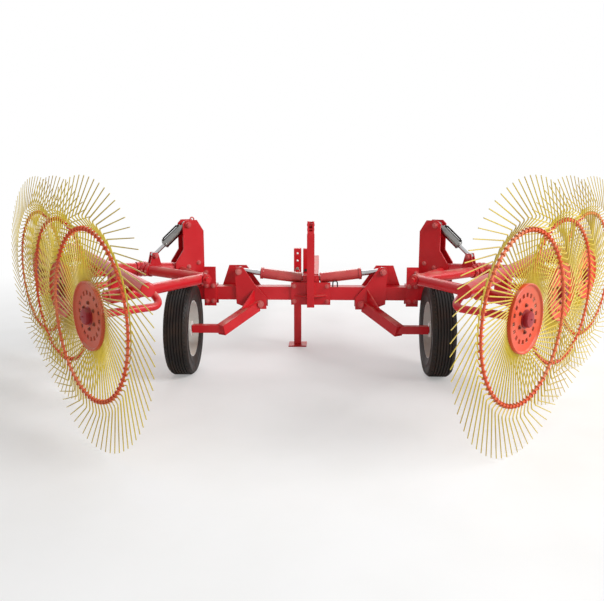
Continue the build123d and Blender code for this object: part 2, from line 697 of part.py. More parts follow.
def rake_tines():
    """Ring of flat-cut tines round an open centre, each bent back at the hoop."""
    pitch = 360 / TINES
    half = degrees(TINE_THICK / 2 / RIM_R)
    outline = []
    for number in range(TINES):
        angle = number * pitch
        outline.append(on_circle(TINE_VALLEY_R, angle - pitch / 2))
        outline.append(on_circle(RIM_R, angle + TINE_BEND_ANGLE - half))
        outline.append(on_circle(TINE_TIP_R, angle + TINE_TIP_ANGLE))
        outline.append(on_circle(RIM_R, angle + TINE_BEND_ANGLE + half))
    star = make_face(Polyline(*outline, close=True)) - Circle(HUB_CORE_R)
    return extrude(Plane.XY.offset(-TINE_THICK / 2) * star, TINE_THICK)


def rake_hoop():
    """Hoop that ties the tines together, with one flat to every second tine."""
    flats = TINES // 2
    outer = RegularPolygon(RIM_R + HOOP_WIDTH / 2, flats)
    inner = RegularPolygon(RIM_R - HOOP_WIDTH / 2, flats)
    return extrude(Plane.XY.offset(TINE_THICK / 2) * (outer - inner), HOOP_THICK)


def rake_hub():
    """Hub turned as one spool: two discs that grip the tines, a bearing and a closed cap."""
    face = TINE_THICK / 2
    back = face + HUB_DISC
    front = -back - HUB_BEARING_LENGTH
    bore = CRANK_R + RUN
    floor = CRANK_TIP + 1
    spool = [
        (0, back + HUB_CAP),
        (HUB_CAP_R, back + HUB_CAP),
        (HUB_CAP_R, back),
        (HUB_DISC_R, back),
        (HUB_DISC_R, face),
        (HUB_CORE_R, face),
        (HUB_CORE_R, -face),
        (HUB_DISC_R, -face),
        (HUB_DISC_R, -back),
        (HUB_BEARING_R, -back),
        (HUB_BEARING_R, front),
        (bore, front),
        (bore, floor),
        (0, floor),
    ]
    profile = make_face(Polyline(*[(x, 0, z) for x, z in spool], close=True))
    return revolve(profile, Axis.Z)


def handed(name, solid):
    """The right piece and its mirror image on the left."""
    return {name + "_right": solid, name + "_left": mirror(solid, about=Plane.YZ)}


def build():
    """All nodes by name."""
    nodes = {
        "cross_beam": cross_beam(),
        "centre_mast": centre_mast(),
        "drawbar": drawbar(),
        "stand_sleeve": stand_sleeve(),
        "stand_leg": stand_leg(),
    }
    nodes.update(handed("tower", tower()))
    nodes.update(handed("hinge_shaft", hinge_shaft()))
    nodes.update(handed("wheel_arm", wheel_arm()))
    for name, solid in zip(("tyre", "road_rim"), road_wheel_parts()):
        nodes.update(handed(name, solid))
    for name, solid in zip(("lift_barrel", "lift_rod"), lift_cylinder_parts()):
        nodes.update(handed(name, solid))
    for name, solid in zip(("wing_barrel", "wing_rod"), wing_cylinder_parts()):
        nodes.update(handed(name, solid))
    nodes.update(handed("wing_boom", wing_boom()))
    nodes.update(handed("wing_lift_arm", wing_lift_arm()))
    for name, solid in zip(("wing_brace_front", "wing_brace_rear"), wing_brace_parts()):
        nodes.update(handed(name, solid))
    wheel_parts = {"rake_tines": rake_tines(), "rake_hoop": rake_hoop(), "rake_hub": rake_hub()}
    for number in range(RAKE_COUNT):
        nodes.update(handed(f"rake_crank_{number + 1}", rake_crank(number)))
        place = Plane(hub_place(number), x_dir=IN_WHEEL, z_dir=-AXLE_IN)
        for name, solid in wheel_parts.items():
            nodes.update(handed(f"{name}_{number + 1}", place * solid))
    return nodes


os.makedirs("parts", exist_ok=True)
for node, solid in build().items():
    export_step(solid, f"parts/{node}.step")
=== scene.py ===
import json
import logging
import math
from collections.abc import Iterable, Sequence
from dataclasses import dataclass
from enum import Enum
from functools import cache
from typing import ClassVar

import bmesh
import bpy
from bpy.types import Material, Node, NodeSocket as Socket, NodeTree
from mathutils import Matrix, Vector


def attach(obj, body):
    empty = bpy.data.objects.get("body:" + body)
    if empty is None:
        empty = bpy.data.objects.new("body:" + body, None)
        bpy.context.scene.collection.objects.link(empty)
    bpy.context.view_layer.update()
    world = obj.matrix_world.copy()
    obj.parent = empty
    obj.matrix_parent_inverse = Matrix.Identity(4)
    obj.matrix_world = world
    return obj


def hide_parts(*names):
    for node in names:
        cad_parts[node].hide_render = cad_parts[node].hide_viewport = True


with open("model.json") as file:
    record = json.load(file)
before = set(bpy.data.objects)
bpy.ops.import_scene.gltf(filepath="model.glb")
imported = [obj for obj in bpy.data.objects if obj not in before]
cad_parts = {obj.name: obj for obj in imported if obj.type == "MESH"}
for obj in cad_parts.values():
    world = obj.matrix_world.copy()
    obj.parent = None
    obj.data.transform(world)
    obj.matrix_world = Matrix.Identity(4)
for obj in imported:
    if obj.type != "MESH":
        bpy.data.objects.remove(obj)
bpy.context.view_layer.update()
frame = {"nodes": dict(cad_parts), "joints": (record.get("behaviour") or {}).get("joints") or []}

# Looks of a towed wheel rake, dressed over its frame. Metres, +X right, +Y travel, +Z up.
# Handed pieces are formed for the right half and mirrored to the left.

LOG = logging.getLogger("wheel_rake")
UP = Vector((0.0, 0.0, 1.0))
RIGHT = Vector((1.0, 0.0, 0.0))
FRONT = Vector((0.0, 1.0, 0.0))
REAR = -FRONT
ALONG = Vector((0.5, math.sqrt(0.75), 0.0))      # a right wing's hinge, towards the front
OUTWARD = Vector((math.sqrt(0.75), -0.5, 0.0))   # square to it, out from the machine
ORIGIN = Matrix.Identity(4)
BOTH = (-1.0, 1.0)                               # signs of two opposite ends
FULL_TURN = 2.0 * math.pi
SHARP = math.radians(38.0)                       # edges sharper than this aren't smoothed
BLACK = (0.0, 0.0, 0.0, 1.0)
WHITE = (1.0, 1.0, 1.0, 1.0)

Colour = tuple[float, float, float, float]
Pair = tuple[float, float]
Triple = tuple[float, float, float]
Point = Vector | Triple
Profile = Sequence[Pair]
Sockets = Sequence[tuple[str, str]]


class Side(Enum):
    """Half of the machine, seen from behind."""

    LEFT = "left"
    RIGHT = "right"


def tone(red: int, green: int, blue: int) -> Colour:
    """Linear colour of an 8-bit screen colour.

    Args:
        red: Red, 0 to 255.
        green: Green, 0 to 255.
        blue: Blue, 0 to 255.

    Returns:
        The colour with full alpha.
    """
    parts = [value / 255.0 for value in (red, green, blue)]
    linear = [p / 12.92 if p <= 0.04045 else ((p + 0.055) / 1.055) ** 2.4 for p in parts]
    return (*linear, 1.0)


def joint_frame(name: str) -> tuple[Vector, Vector]:
    """Point on a joint's axis, and the axis, by the joint's name in the record."""
    entry = next(item for item in frame["joints"] if item["name"] == name)
    return Vector(entry["pos_m"]), Vector(entry["axis"])


def facing(spot: Vector, normal: Vector, above: Vector = UP) -> Matrix:
    """Local frame on a face.

    Args:
        spot: The frame's origin.
        normal: Direction of its +Z.
        above: Direction that its +Y leans to.

    Returns:
        The frame's matrix.
    """
    z = normal.normalized()
    side = above.cross(z)
    if side.length < 1e-4:
        side = RIGHT.cross(z)
    x = side.normalized()
    return Matrix.Translation(spot) @ Matrix((x, z.cross(x), z)).transposed().to_4x4()


def lean_for(aim: Vector) -> Vector:
    """Direction that a frame along an aim can lean to."""
    return UP if abs(aim.z) < 0.9 else FRONT


def from_hinge(out: float, height: float, along: float = 0.0) -> Vector:
    """Point by the right tower: out from the wing's hinge, above ground, forward along the hinge."""
    return Vector((1.0, 0.0, height)) + OUTWARD * out + ALONG * along


def once(items: Iterable) -> list:
    """The items in order, without repeats."""
    return list(dict.fromkeys(items))


class Graph:
    """A node tree being wired up."""

    def __init__(self, tree: NodeTree) -> None:
        """Keeps the tree that nodes go to."""
        self.tree = tree

    def feed(self, node: Node, inputs: dict[str | int, object]) -> None:
        """Feeds a node's inputs.

        Args:
            node: The node.
            inputs: Socket name or number to a value or to the socket that feeds it.
        """
        for key, value in inputs.items():
            if isinstance(value, Socket):
                self.tree.links.new(value, node.inputs[key])
            else:
                node.inputs[key].default_value = value

    def add(self, kind: str, inputs: dict[str | int, object], **settings: object) -> Node:
        """Adds a node.

        Args:
            kind: Node type after ShaderNode.
            inputs: What feeds its inputs.
            settings: The node's own properties.

        Returns:
            The node.
        """
        node = self.tree.nodes.new("ShaderNode" + kind)
        for name, value in settings.items():
            setattr(node, name, value)
        self.feed(node, inputs)
        return node

    def mix(self, factor: object, first: object, second: object) -> Socket:
        """Blends two colours by the second one's share."""
        return self.add("Mix", {0: factor, 6: first, 7: second}, data_type="RGBA").outputs[2]

    def math(self, operation: str, first: object, second: object) -> Socket:
        """Works out a number held between 0 and 1."""
        return self.add("Math", {0: first, 1: second}, operation=operation, use_clamp=True).outputs[0]

    def times(self, first: object, second: object) -> Socket:
        """Product held between 0 and 1."""
        return self.math("MULTIPLY", first, second)

    def ramp(self, value: object, low: float, high: float) -> Socket:
        """Eases a number from 0 at low to 1 at high."""
        inputs = {"Value": value, "From Min": low, "From Max": high}
        return self.add("MapRange", inputs, interpolation_type="SMOOTHSTEP").outputs[0]

    def noise(self, scale: float, detail: float, stretch: Sequence[float] = (1, 1, 1)) -> Socket:
        """Cloudy pattern fixed to the piece.

        Args:
            scale: Clouds to a metre.
            detail: Octaves.
            stretch: Scale along each axis.

        Returns:
            The pattern, about 0 to 1.
        """
        coords = self.add("TexCoord", {}).outputs["Object"]
        place = self.add("Mapping", {"Vector": coords, "Scale": stretch}).outputs[0]
        return self.add("TexNoise", {"Vector": place, "Scale": scale, "Detail": detail}).outputs[0]


def new_group(name: str, ins: Sockets, outs: Sockets) -> tuple[Graph, Node, Node]:
    """Starts a node group.

    Args:
        name: The group's name.
        ins: Input names with Float or Color.
        outs: Output names with Float, Color or Vector.

    Returns:
        The group's graph, its input node and its output node.
    """
    tree = bpy.data.node_groups.new(name, "ShaderNodeTree")
    for way, sockets in (("INPUT", ins), ("OUTPUT", outs)):
        for label, kind in sockets:
            tree.interface.new_socket(label, in_out=way, socket_type="NodeSocket" + kind)
    return Graph(tree), tree.nodes.new("NodeGroupInput"), tree.nodes.new("NodeGroupOutput")


@cache
def weathered_coat() -> NodeTree:
    """Node group of a coat of paint: faded clouds, fine specks, dust on top and orange peel.

    Returns:
        The group's tree.
    """
    ins = [(label, "Color") for label in ("Paint", "Faded", "Dust")]
    ins += [(label, "Float") for label in ("Dustiness", "Gloss")]
    outs = [("Color", "Color"), ("Roughness", "Float"), ("Height", "Float")]
    graph, given, result = new_group("weathered_coat", ins, outs)
    clouds = graph.noise(3.2, 5.0)
    paint = graph.mix(graph.ramp(clouds, 0.40, 0.72), given.outputs["Paint"], given.outputs["Faded"])
    specks = graph.ramp(graph.noise(170.0, 2.0), 0.64, 0.74)
    paint = graph.mix(graph.times(specks, 0.35), paint, (0.03, 0.02, 0.015, 1.0))
    normal = graph.add("NewGeometry", {}).outputs["Normal"]
    upward = graph.ramp(graph.add("SeparateXYZ", {0: normal}).outputs[2], 0.35, 0.95)
    settled = graph.times(upward, graph.ramp(graph.noise(11.0, 6.0), 0.38, 0.68))
    settled = graph.times(settled, given.outputs["Dustiness"])
    rough = graph.math("ADD", given.outputs["Gloss"], graph.times(clouds, 0.12))
    graph.feed(result, {
        "Color": graph.mix(settled, paint, given.outputs["Dust"]),
        "Roughness": graph.math("ADD", rough, graph.times(settled, 0.4)),
        "Height": graph.noise(520.0, 1.0),
    })
    return graph.tree


@cache
def rubbed_edges() -> NodeTree:
    """Node group that rounds sharp edges to the eye and marks where they are rubbed.

    Returns:
        The group's tree.
    """
    ins = [("Radius", "Float"), ("Amount", "Float")]
    graph, given, result = new_group("rubbed_edges", ins, [("Mask", "Float"), ("Normal", "Vector")])
    rounded = graph.add("Bevel", {"Radius": given.outputs["Radius"]}, samples=6).outputs[0]
    flat = graph.add("NewGeometry", {}).outputs["Normal"]
    along = graph.add("VectorMath", {0: rounded, 1: flat}, operation="DOT_PRODUCT").outputs["Value"]
    edge = graph.ramp(graph.math("SUBTRACT", 1.0, along), 0.04, 0.22)
    rubbed = graph.times(edge, graph.ramp(graph.noise(38.0, 6.0), 0.50, 0.62))
    graph.feed(result, {"Mask": graph.times(rubbed, given.outputs["Amount"]), "Normal": rounded})
    return graph.tree


def new_material(name: str) -> tuple[Material, Graph, Node]:
    """Starts a material.

    Args:
        name: The material's name.

    Returns:
        The material, its graph and its shader.
    """
    material = bpy.data.materials.new(name)
    material.use_nodes = True
    return material, Graph(material.node_tree), material.node_tree.nodes["Principled BSDF"]


@dataclass(frozen=True)
class Paint:
    """Sprayed paint on steel."""

    name: str
    fresh: Colour
    faded: Colour
    gloss: float = 0.30
    dust: float = 0.30
    wear: float = 0.6
    coat: float = 0.12
    edge: float = 0.0035
    shine: float = 0.3
    settled: Colour = tone(196, 176, 150)
    bare: Colour = tone(92, 74, 66)

    def material(self) -> Material:
        """Wires up the paint.

        Returns:
            Its material.
        """
        material, graph, shader = new_material(self.name)
        colours = {"Paint": self.fresh, "Faded": self.faded, "Dust": self.settled}
        amounts = {"Dustiness": self.dust, "Gloss": self.gloss}
        layer = graph.add("Group", {**colours, **amounts}, node_tree=weathered_coat()).outputs
        rubbed = {"Radius": self.edge, "Amount": self.wear}
        edges = graph.add("Group", rubbed, node_tree=rubbed_edges()).outputs
        peel = {"Height": layer["Height"], "Strength": 0.12, "Distance": 0.0006, "Normal": edges["Normal"]}
        graph.feed(shader, {
            "Base Color": graph.mix(edges["Mask"], layer["Color"], self.bare),
            "Roughness": layer["Roughness"],
            "Normal": graph.add("Bump", peel).outputs[0],
            "Specular IOR Level": self.shine,
            "Coat Weight": self.coat,
            "Coat Roughness": 0.12,
        })
        return material


@dataclass(frozen=True)
class Metal:
    """Bare or plated steel, drawn along its length."""

    name: str
    bright: Colour
    dull: Colour
    rough: float
    streaks: Triple = (1.0, 1.0, 1.0)

    def material(self) -> Material:
        """Wires up the metal.

        Returns:
            Its material.
        """
        material, graph, shader = new_material(self.name)
        lines = graph.noise(90.0, 4.0, self.streaks)
        stains = graph.ramp(graph.noise(16.0, 5.0), 0.48, 0.75)
        plated = graph.mix(graph.times(lines, 0.5), self.bright, self.dull)
        rough = graph.math("ADD", graph.times(lines, 0.18), self.rough)
        edges = graph.add("Group", {"Radius": 0.0012, "Amount": 0.0}, node_tree=rubbed_edges()).outputs
        drawn = {"Height": lines, "Strength": 0.08, "Distance": 0.0004, "Normal": edges["Normal"]}
        graph.feed(shader, {
            "Base Color": graph.mix(graph.times(stains, 0.45), plated, self.dull),
            "Roughness": graph.math("ADD", rough, graph.times(stains, 0.15)),
            "Normal": graph.add("Bump", drawn).outputs[0],
            "Metallic": 1.0,
        })
        return material


@dataclass(frozen=True)
class Rubber:
    """Moulded rubber or black plastic, dusty in the grain."""

    name: str
    black: Colour
    dusty: Colour
    dust: float = 0.5
    grain: float = 420.0

    def material(self) -> Material:
        """Wires up the rubber.

        Returns:
            Its material.
        """
        material, graph, shader = new_material(self.name)
        clouds = graph.ramp(graph.noise(9.0, 6.0), 0.42, 0.70)
        moulded = {"Height": graph.noise(self.grain, 3.0), "Strength": 0.25, "Distance": 0.0008}
        graph.feed(shader, {
            "Base Color": graph.mix(graph.times(clouds, self.dust), self.black, self.dusty),
            "Roughness": graph.math("ADD", 0.52, graph.times(clouds, 0.3)),
            "Specular IOR Level": 0.3,
            "Normal": graph.add("Bump", moulded).outputs[0],
        })
        return material


class Finish(Enum):
    """Finishes of the machine."""

    FRAME_RED = Paint("frame_red_paint", tone(196, 18, 30), tone(208, 38, 46))
    BARREL_RED = Paint("barrel_red_paint", tone(186, 44, 48), tone(200, 76, 72), gloss=0.20, coat=0.6)
    BARREL_GREY = Metal("barrel_steel", tone(150, 149, 147), tone(70, 67, 64), 0.12, (1.0, 1.0, 0.2))
    RIM_WHITE = Paint("rim_white_paint", tone(214, 214, 210), tone(190, 186, 178), gloss=0.34, dust=0.5)
    TINE_YELLOW = Paint(
        "tine_yellow_paint", tone(206, 182, 52), tone(180, 154, 72), gloss=0.34, wear=0.2, edge=0.0008)
    HUB_ORANGE = Paint(
        "hub_orange_paint", tone(206, 68, 32), tone(196, 92, 60), gloss=0.36, dust=0.75, wear=0.8)
    HOOP_ORANGE = Paint("hoop_orange_paint", tone(212, 82, 44), tone(214, 124, 82), gloss=0.38, edge=0.001)
    CAP_RED = Paint(
        "hub_cap_red_paint", tone(136, 12, 24), tone(150, 26, 34), gloss=0.36, coat=0.06, edge=0.002)
    # Dark brown-red on the floors of the hub's sunk slots and inside the sleeve's mouth: painted shade in
    # these recesses.
    SLOT_DARK = Paint("slot_painted_shade", tone(70, 26, 18), tone(96, 44, 30), gloss=0.6, coat=0.0, edge=0.0006)
    # Hub bolts, painted a darker brown-red than the hub.
    BOLT_DARK = Paint("bolt_dark_paint", tone(104, 40, 28), tone(140, 74, 52), gloss=0.5, coat=0.0, edge=0.0008)
    # Both tones paler and pinker than the frame's red on bolts of the same paint: painted highlight on their
    # round heads.
    BOLT_RED = Paint(
        "bolt_red_paint", tone(196, 70, 72), tone(214, 138, 132), gloss=0.32, coat=0.1, edge=0.001)
    ROD_CHROME = Metal("rod_chrome", tone(196, 196, 198), tone(128, 126, 124), 0.10, (0.1, 1.0, 1.0))
    BOLT_ZINC = Metal("bolt_zinc", tone(188, 186, 176), tone(126, 120, 106), 0.28)
    TYRE_BLACK = Rubber("tyre_rubber", tone(27, 22, 20), tone(78, 62, 52), 0.35)
    PLUG_BLACK = Rubber("end_plug_plastic", tone(26, 25, 25), tone(70, 64, 58), 0.35, 900.0)


@cache
def material_of(finish: Finish) -> Material:
    """The one material of a finish."""
    return finish.value.material()


class Form:
    """A mesh being formed by mesh operators."""

    def __init__(self) -> None:
        """Starts with no geometry."""
        self.bm = bmesh.new()

    def move(self, place: Matrix) -> None:
        """Carries the whole mesh to a place."""
        bmesh.ops.transform(self.bm, matrix=place, verts=self.bm.verts)

    def rod(self, path: Sequence[Vector], radius: float, sides: int = 8, tip: float = 1.0) -> None:
        """Round rod drawn along a path, closed at both ends.

        Args:
            path: Points along its middle.
            radius: Its radius.
            sides: Sides of its section.
            tip: Share of the radius left at its end.
        """
        runs = [(b - a).normalized() for a, b in zip(path, path[1:])]
        aims = [runs[0]] + [(a + b).normalized() for a, b in zip(runs, runs[1:])] + [runs[-1]]
        here = facing(path[0], aims[0], lean_for(aims[0]))
        start = bmesh.ops.create_circle(self.bm, cap_ends=True, segments=sides, radius=radius, matrix=here)
        loop = once(edge for vert in start["verts"] for edge in vert.link_edges)
        for number, (spot, aim) in enumerate(zip(path[1:], aims[1:]), 1):
            grown = bmesh.ops.extrude_edge_only(self.bm, edges=loop)["geom"]
            verts = [item for item in grown if isinstance(item, bmesh.types.BMVert)]
            fresh = set(verts)
            loop = once(e for v in verts for e in v.link_edges if e.other_vert(v) in fresh)
            turn = here.to_3x3().col[2].rotation_difference(aim).to_matrix() @ here.to_3x3()
            there = Matrix.Translation(spot) @ turn.to_4x4()
            size = Matrix.Scale(tip if number == len(path) - 1 else 1.0, 4)
            bmesh.ops.transform(self.bm, matrix=there @ size @ here.inverted(), verts=verts)
            here = there
        bmesh.ops.edgeloop_fill(self.bm, edges=loop)

    def lathe(self, profile: Profile, place: Matrix, steps: int = 48, closed: bool = False) -> None:
        """Form turned about its place's +Z.

        Args:
            profile: Radius and height of each point.
            place: Local frame of the turning.
            steps: Steps of the full turn.
            closed: Whether the profile's end joins its start.
        """
        verts = [self.bm.verts.new(place @ Vector((r, 0.0, h))) for r, h in profile]
        pairs = list(zip(verts, verts[1:])) + ([(verts[-1], verts[0])] if closed else [])
        edges = [self.bm.edges.new(pair) for pair in pairs]
        axis = place.to_3x3().col[2]
        turn = {"cent": place.translation, "axis": axis, "angle": FULL_TURN, "steps": steps}
        bmesh.ops.spin(self.bm, geom=verts + edges, use_merge=True, **turn)
        bmesh.ops.remove_doubles(self.bm, verts=self.bm.verts, dist=1e-6)

    def ring(self, place: Matrix, radius: float, wire: float, steps: int = 24) -> None:
        """Ring of round wire about its place's +Z.

        Args:
            place: Local frame at its middle.
            radius: Radius to the wire's middle.
            wire: The wire's radius.
            steps: Steps of the full turn.
        """
        turns = [FULL_TURN * number / 8 for number in range(8)]
        circle = [(radius + wire * math.cos(turn), wire * math.sin(turn)) for turn in turns]
        self.lathe(circle, place, steps, closed=True)

    def box(self, low: Point, high: Point, rounding: float) -> None:
        """Block between two corners with rounded edges.

        Args:
            low: Its low corner.
            high: Its high corner.
            rounding: Width of the rounding.
        """
        start, end = Vector(low), Vector(high)
        place = Matrix.Translation((start + end) / 2.0) @ Matrix.Diagonal((*(end - start), 1.0))
        made = bmesh.ops.create_cube(self.bm, size=1.0, matrix=place)
        edges = once(edge for vert in made["verts"] for edge in vert.link_edges)
        shape = {"affect": "EDGES", "segments": 2, "profile": 0.5, "material": -1}
        bmesh.ops.bevel(self.bm, geom=edges, offset=rounding, **shape)

    def wedge(self, place: Matrix, length: float, height: float, thick: float) -> None:
        """Three-cornered plate with its square corner at its place.

        Args:
            place: Local frame, its legs along +X and +Z.
            length: Leg along +X.
            height: Leg along +Z.
            thick: Thickness along +Y.
        """
        outline = ((0.0, 0.0), (length, 0.0), (0.0, height))
        corners = [self.bm.verts.new(place @ Vector((x, -thick / 2.0, z))) for x, z in outline]
        face = bmesh.ops.contextual_create(self.bm, geom=corners)["faces"]
        grown = bmesh.ops.extrude_face_region(self.bm, geom=face)["geom"]
        verts = [item for item in grown if isinstance(item, bmesh.types.BMVert)]
        bmesh.ops.translate(self.bm, vec=place.to_3x3().col[1] * thick, verts=verts)

    def plug(self, place: Matrix, radius: float) -> None:
        """Low domed plug in a tube's end, +Z out."""
        self.lathe([(radius, -0.001), (radius, 0.002), (radius * 0.9, 0.004), (0.0, 0.0055)], place, 32)

    def nipple(self, place: Matrix) -> None:
        """Grease nipple on its seat, +Z out."""
        seat, neck = 0.006, 0.0032
        self.lathe([(seat, 0.0), (seat, 0.005), (neck, 0.006), (neck, 0.011), (0.0, 0.0125)], place, 10)

    def port(self, place: Matrix, height: float) -> None:
        """Threaded port boss with a hexagon union, +Z out."""
        self.lathe([(0.013, -0.006), (0.013, height), (0.0, height)], place, 20)
        self.bolt(place @ Matrix.Translation((0.0, 0.0, height)), 0.019)

    def wiper(self, place: Matrix, rod: float, lip: float, steps: int) -> None:
        """Wiper seal round a cylinder's rod.

        Args:
            place: Local frame at the barrel's mouth, +Z out.
            rod: Its bore's radius.
            lip: Radius of its lip.
            steps: Steps of the full turn.
        """
        section = [(rod, -0.002), (rod, 0.004), (lip, 0.0045), (lip + 0.006, 0.002), (lip + 0.007, -0.002)]
        self.lathe(section, place, steps, closed=True)

    def repeat(self, count: int) -> None:
        """Repeats the mesh evenly round +Z."""
        geom = self.bm.verts[:] + self.bm.edges[:] + self.bm.faces[:]
        turn = {"axis": UP, "angle": FULL_TURN * (count - 1) / count, "steps": count - 1}
        bmesh.ops.spin(self.bm, geom=geom, use_duplicate=True, **turn)

    def bolt(self, place: Matrix, across: float, proud: float = 0.0) -> None:
        """Hexagon head on a washer, or a nut where the thread stands proud.

        Args:
            place: Frame on the seat, +Z out.
            across: Width across the head's flats.
            proud: Thread past the head.
        """
        washer, head, corner = 0.12 * across, 0.62 * across, across / math.sqrt(3.0)
        stack = [(16, across * 0.84, across * 0.84, washer, 0.0), (6, corner, corner * 0.93, head, washer)]
        if proud:
            stack.append((10, across * 0.31, across * 0.28, proud, washer + head))
        for segments, low, high, depth, base in stack:
            seat = place @ Matrix.Translation((0.0, 0.0, base + depth / 2.0))
            size = {"segments": segments, "radius1": low, "radius2": high, "depth": depth}
            bmesh.ops.create_cone(self.bm, cap_ends=True, matrix=seat, **size)

    def sink(self, faces: Sequence[bmesh.types.BMFace], border: float, depth: float) -> None:
        """Presses faces in and gives their floors the piece's second finish.

        Args:
            faces: The faces.
            border: Width left round each one.
            depth: How deep they go.
        """
        bmesh.ops.recalc_face_normals(self.bm, faces=self.bm.faces)
        bmesh.ops.inset_individual(self.bm, faces=faces, thickness=border, depth=-depth)
        for face in faces:
            face.material_index = 1

    def weld(self, start: Point, end: Point, size: float) -> None:
        """Rippled weld bead along a straight seam.

        Args:
            start: One end of the seam.
            end: Its other end.
            size: The bead's radius.
        """
        run = Vector(end) - Vector(start)
        ripples = max(4, round(run.length / (2.2 * size)))
        pitch = run.length / ripples
        profile = [(0.0, 0.0)]
        for number in range(ripples):
            profile += [(size, (number + 0.45) * pitch), (size * 0.78, (number + 0.98) * pitch)]
        here = facing(Vector(start), run, lean_for(run.normalized()))
        self.lathe(profile + [(0.0, ripples * pitch)], here, 8)


@dataclass
class Assembly(Form):
    """Sub-assembly that forms its pieces one at a time, in the middle or on one side."""

    side: Side | None = None

    # The body that its pieces ride on, without the side, or the frame if empty; and a material slot's name.
    BODY: ClassVar[str] = ""
    SLOT: ClassVar[str] = "frame_red"
    # CAD nodes that it dresses, without the side, by finish.
    NODES: ClassVar[dict[Finish, tuple[str, ...]]] = {}

    def __post_init__(self) -> None:
        """Starts with no geometry."""
        super().__init__()

    def name(self, word: str) -> str:
        """Full name of a piece, a body or a node, with the side where there is one."""
        return f"{word}_{self.side.value}" if self.side else word

    @property
    def place(self) -> Matrix:
        """Frame that the right half's pieces are formed in."""
        return ORIGIN

    def grip(self, x: float, rear: float, front: float) -> None:
        """U-bolt round the cross-beam with nuts on its rear.

        Args:
            x: Its place along the beam.
            rear: Face that the nuts sit on.
            front: Middle of its bow.
        """
        high, low, bend = 0.591, 0.475, 0.008
        bow = [(rear, high), (front - bend, high), (front, high - bend)]
        bow += [(front, low + bend), (front - bend, low), (rear, low)]
        self.rod([Vector((x, y, z)) for y, z in bow], 0.0065, 10)
        for z in (high, low):
            self.bolt(facing(Vector((x, rear, z)), REAR), 0.021, 0.009)

    def put(self, word: str, *finishes: Finish, body: str = "", slot: str = "", stands_for: str = "") -> None:
        """Turns what is formed into a shown piece, mirrored on the left.

        Args:
            word: The piece's name without the side.
            finishes: Its finishes, the main one first.
            body: The body it rides on, where it isn't the usual one.
            slot: Not used.
            stands_for: CAD node that it replaces, without the side.
        """
        self.move(self.place)
        if self.side is Side.LEFT:
            self.move(Matrix.Scale(-1.0, 4, RIGHT))
        bmesh.ops.recalc_face_normals(self.bm, faces=self.bm.faces)
        mesh = bpy.data.meshes.new(self.name(word))
        self.bm.to_mesh(mesh)
        self.bm.clear()
        mesh.shade_smooth()
        mesh.set_sharp_from_angle(angle=SHARP)
        for finish in finishes:
            mesh.materials.append(material_of(finish))
        piece = bpy.data.objects.new(self.name(word), mesh)
        bpy.context.scene.collection.objects.link(piece)
        ridden = body or self.BODY
        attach(piece, self.name(ridden) if ridden else "frame")
        if stands_for:
            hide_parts(self.name(stands_for))
        LOG.info("piece %s, %d faces", piece.name, len(mesh.polygons))

    def dress(self) -> None:
        """Gives the CAD nodes that show their finishes."""
        for finish, words in self.NODES.items():
            for name in map(self.name, words):
                mesh = frame["nodes"][name].data
                mesh.materials.clear()
                mesh.materials.append(material_of(finish))
                LOG.info("node %s in %s", name, finish.name)

    def build(self) -> None:
        """Runs the sub-assembly's build methods in their order, then dresses its CAD nodes."""
        for word, method in vars(type(self)).items():
            if word.startswith("build_"):
                method(self)
        self.dress()


def round_wheel(radius: float, degrees: float, height: float = 0.0) -> Vector:
    """Point in a wheel's own plane at a radius and an angle."""
    angle = math.radians(degrees)
    return Vector((radius * math.cos(angle), radius * math.sin(angle), height))


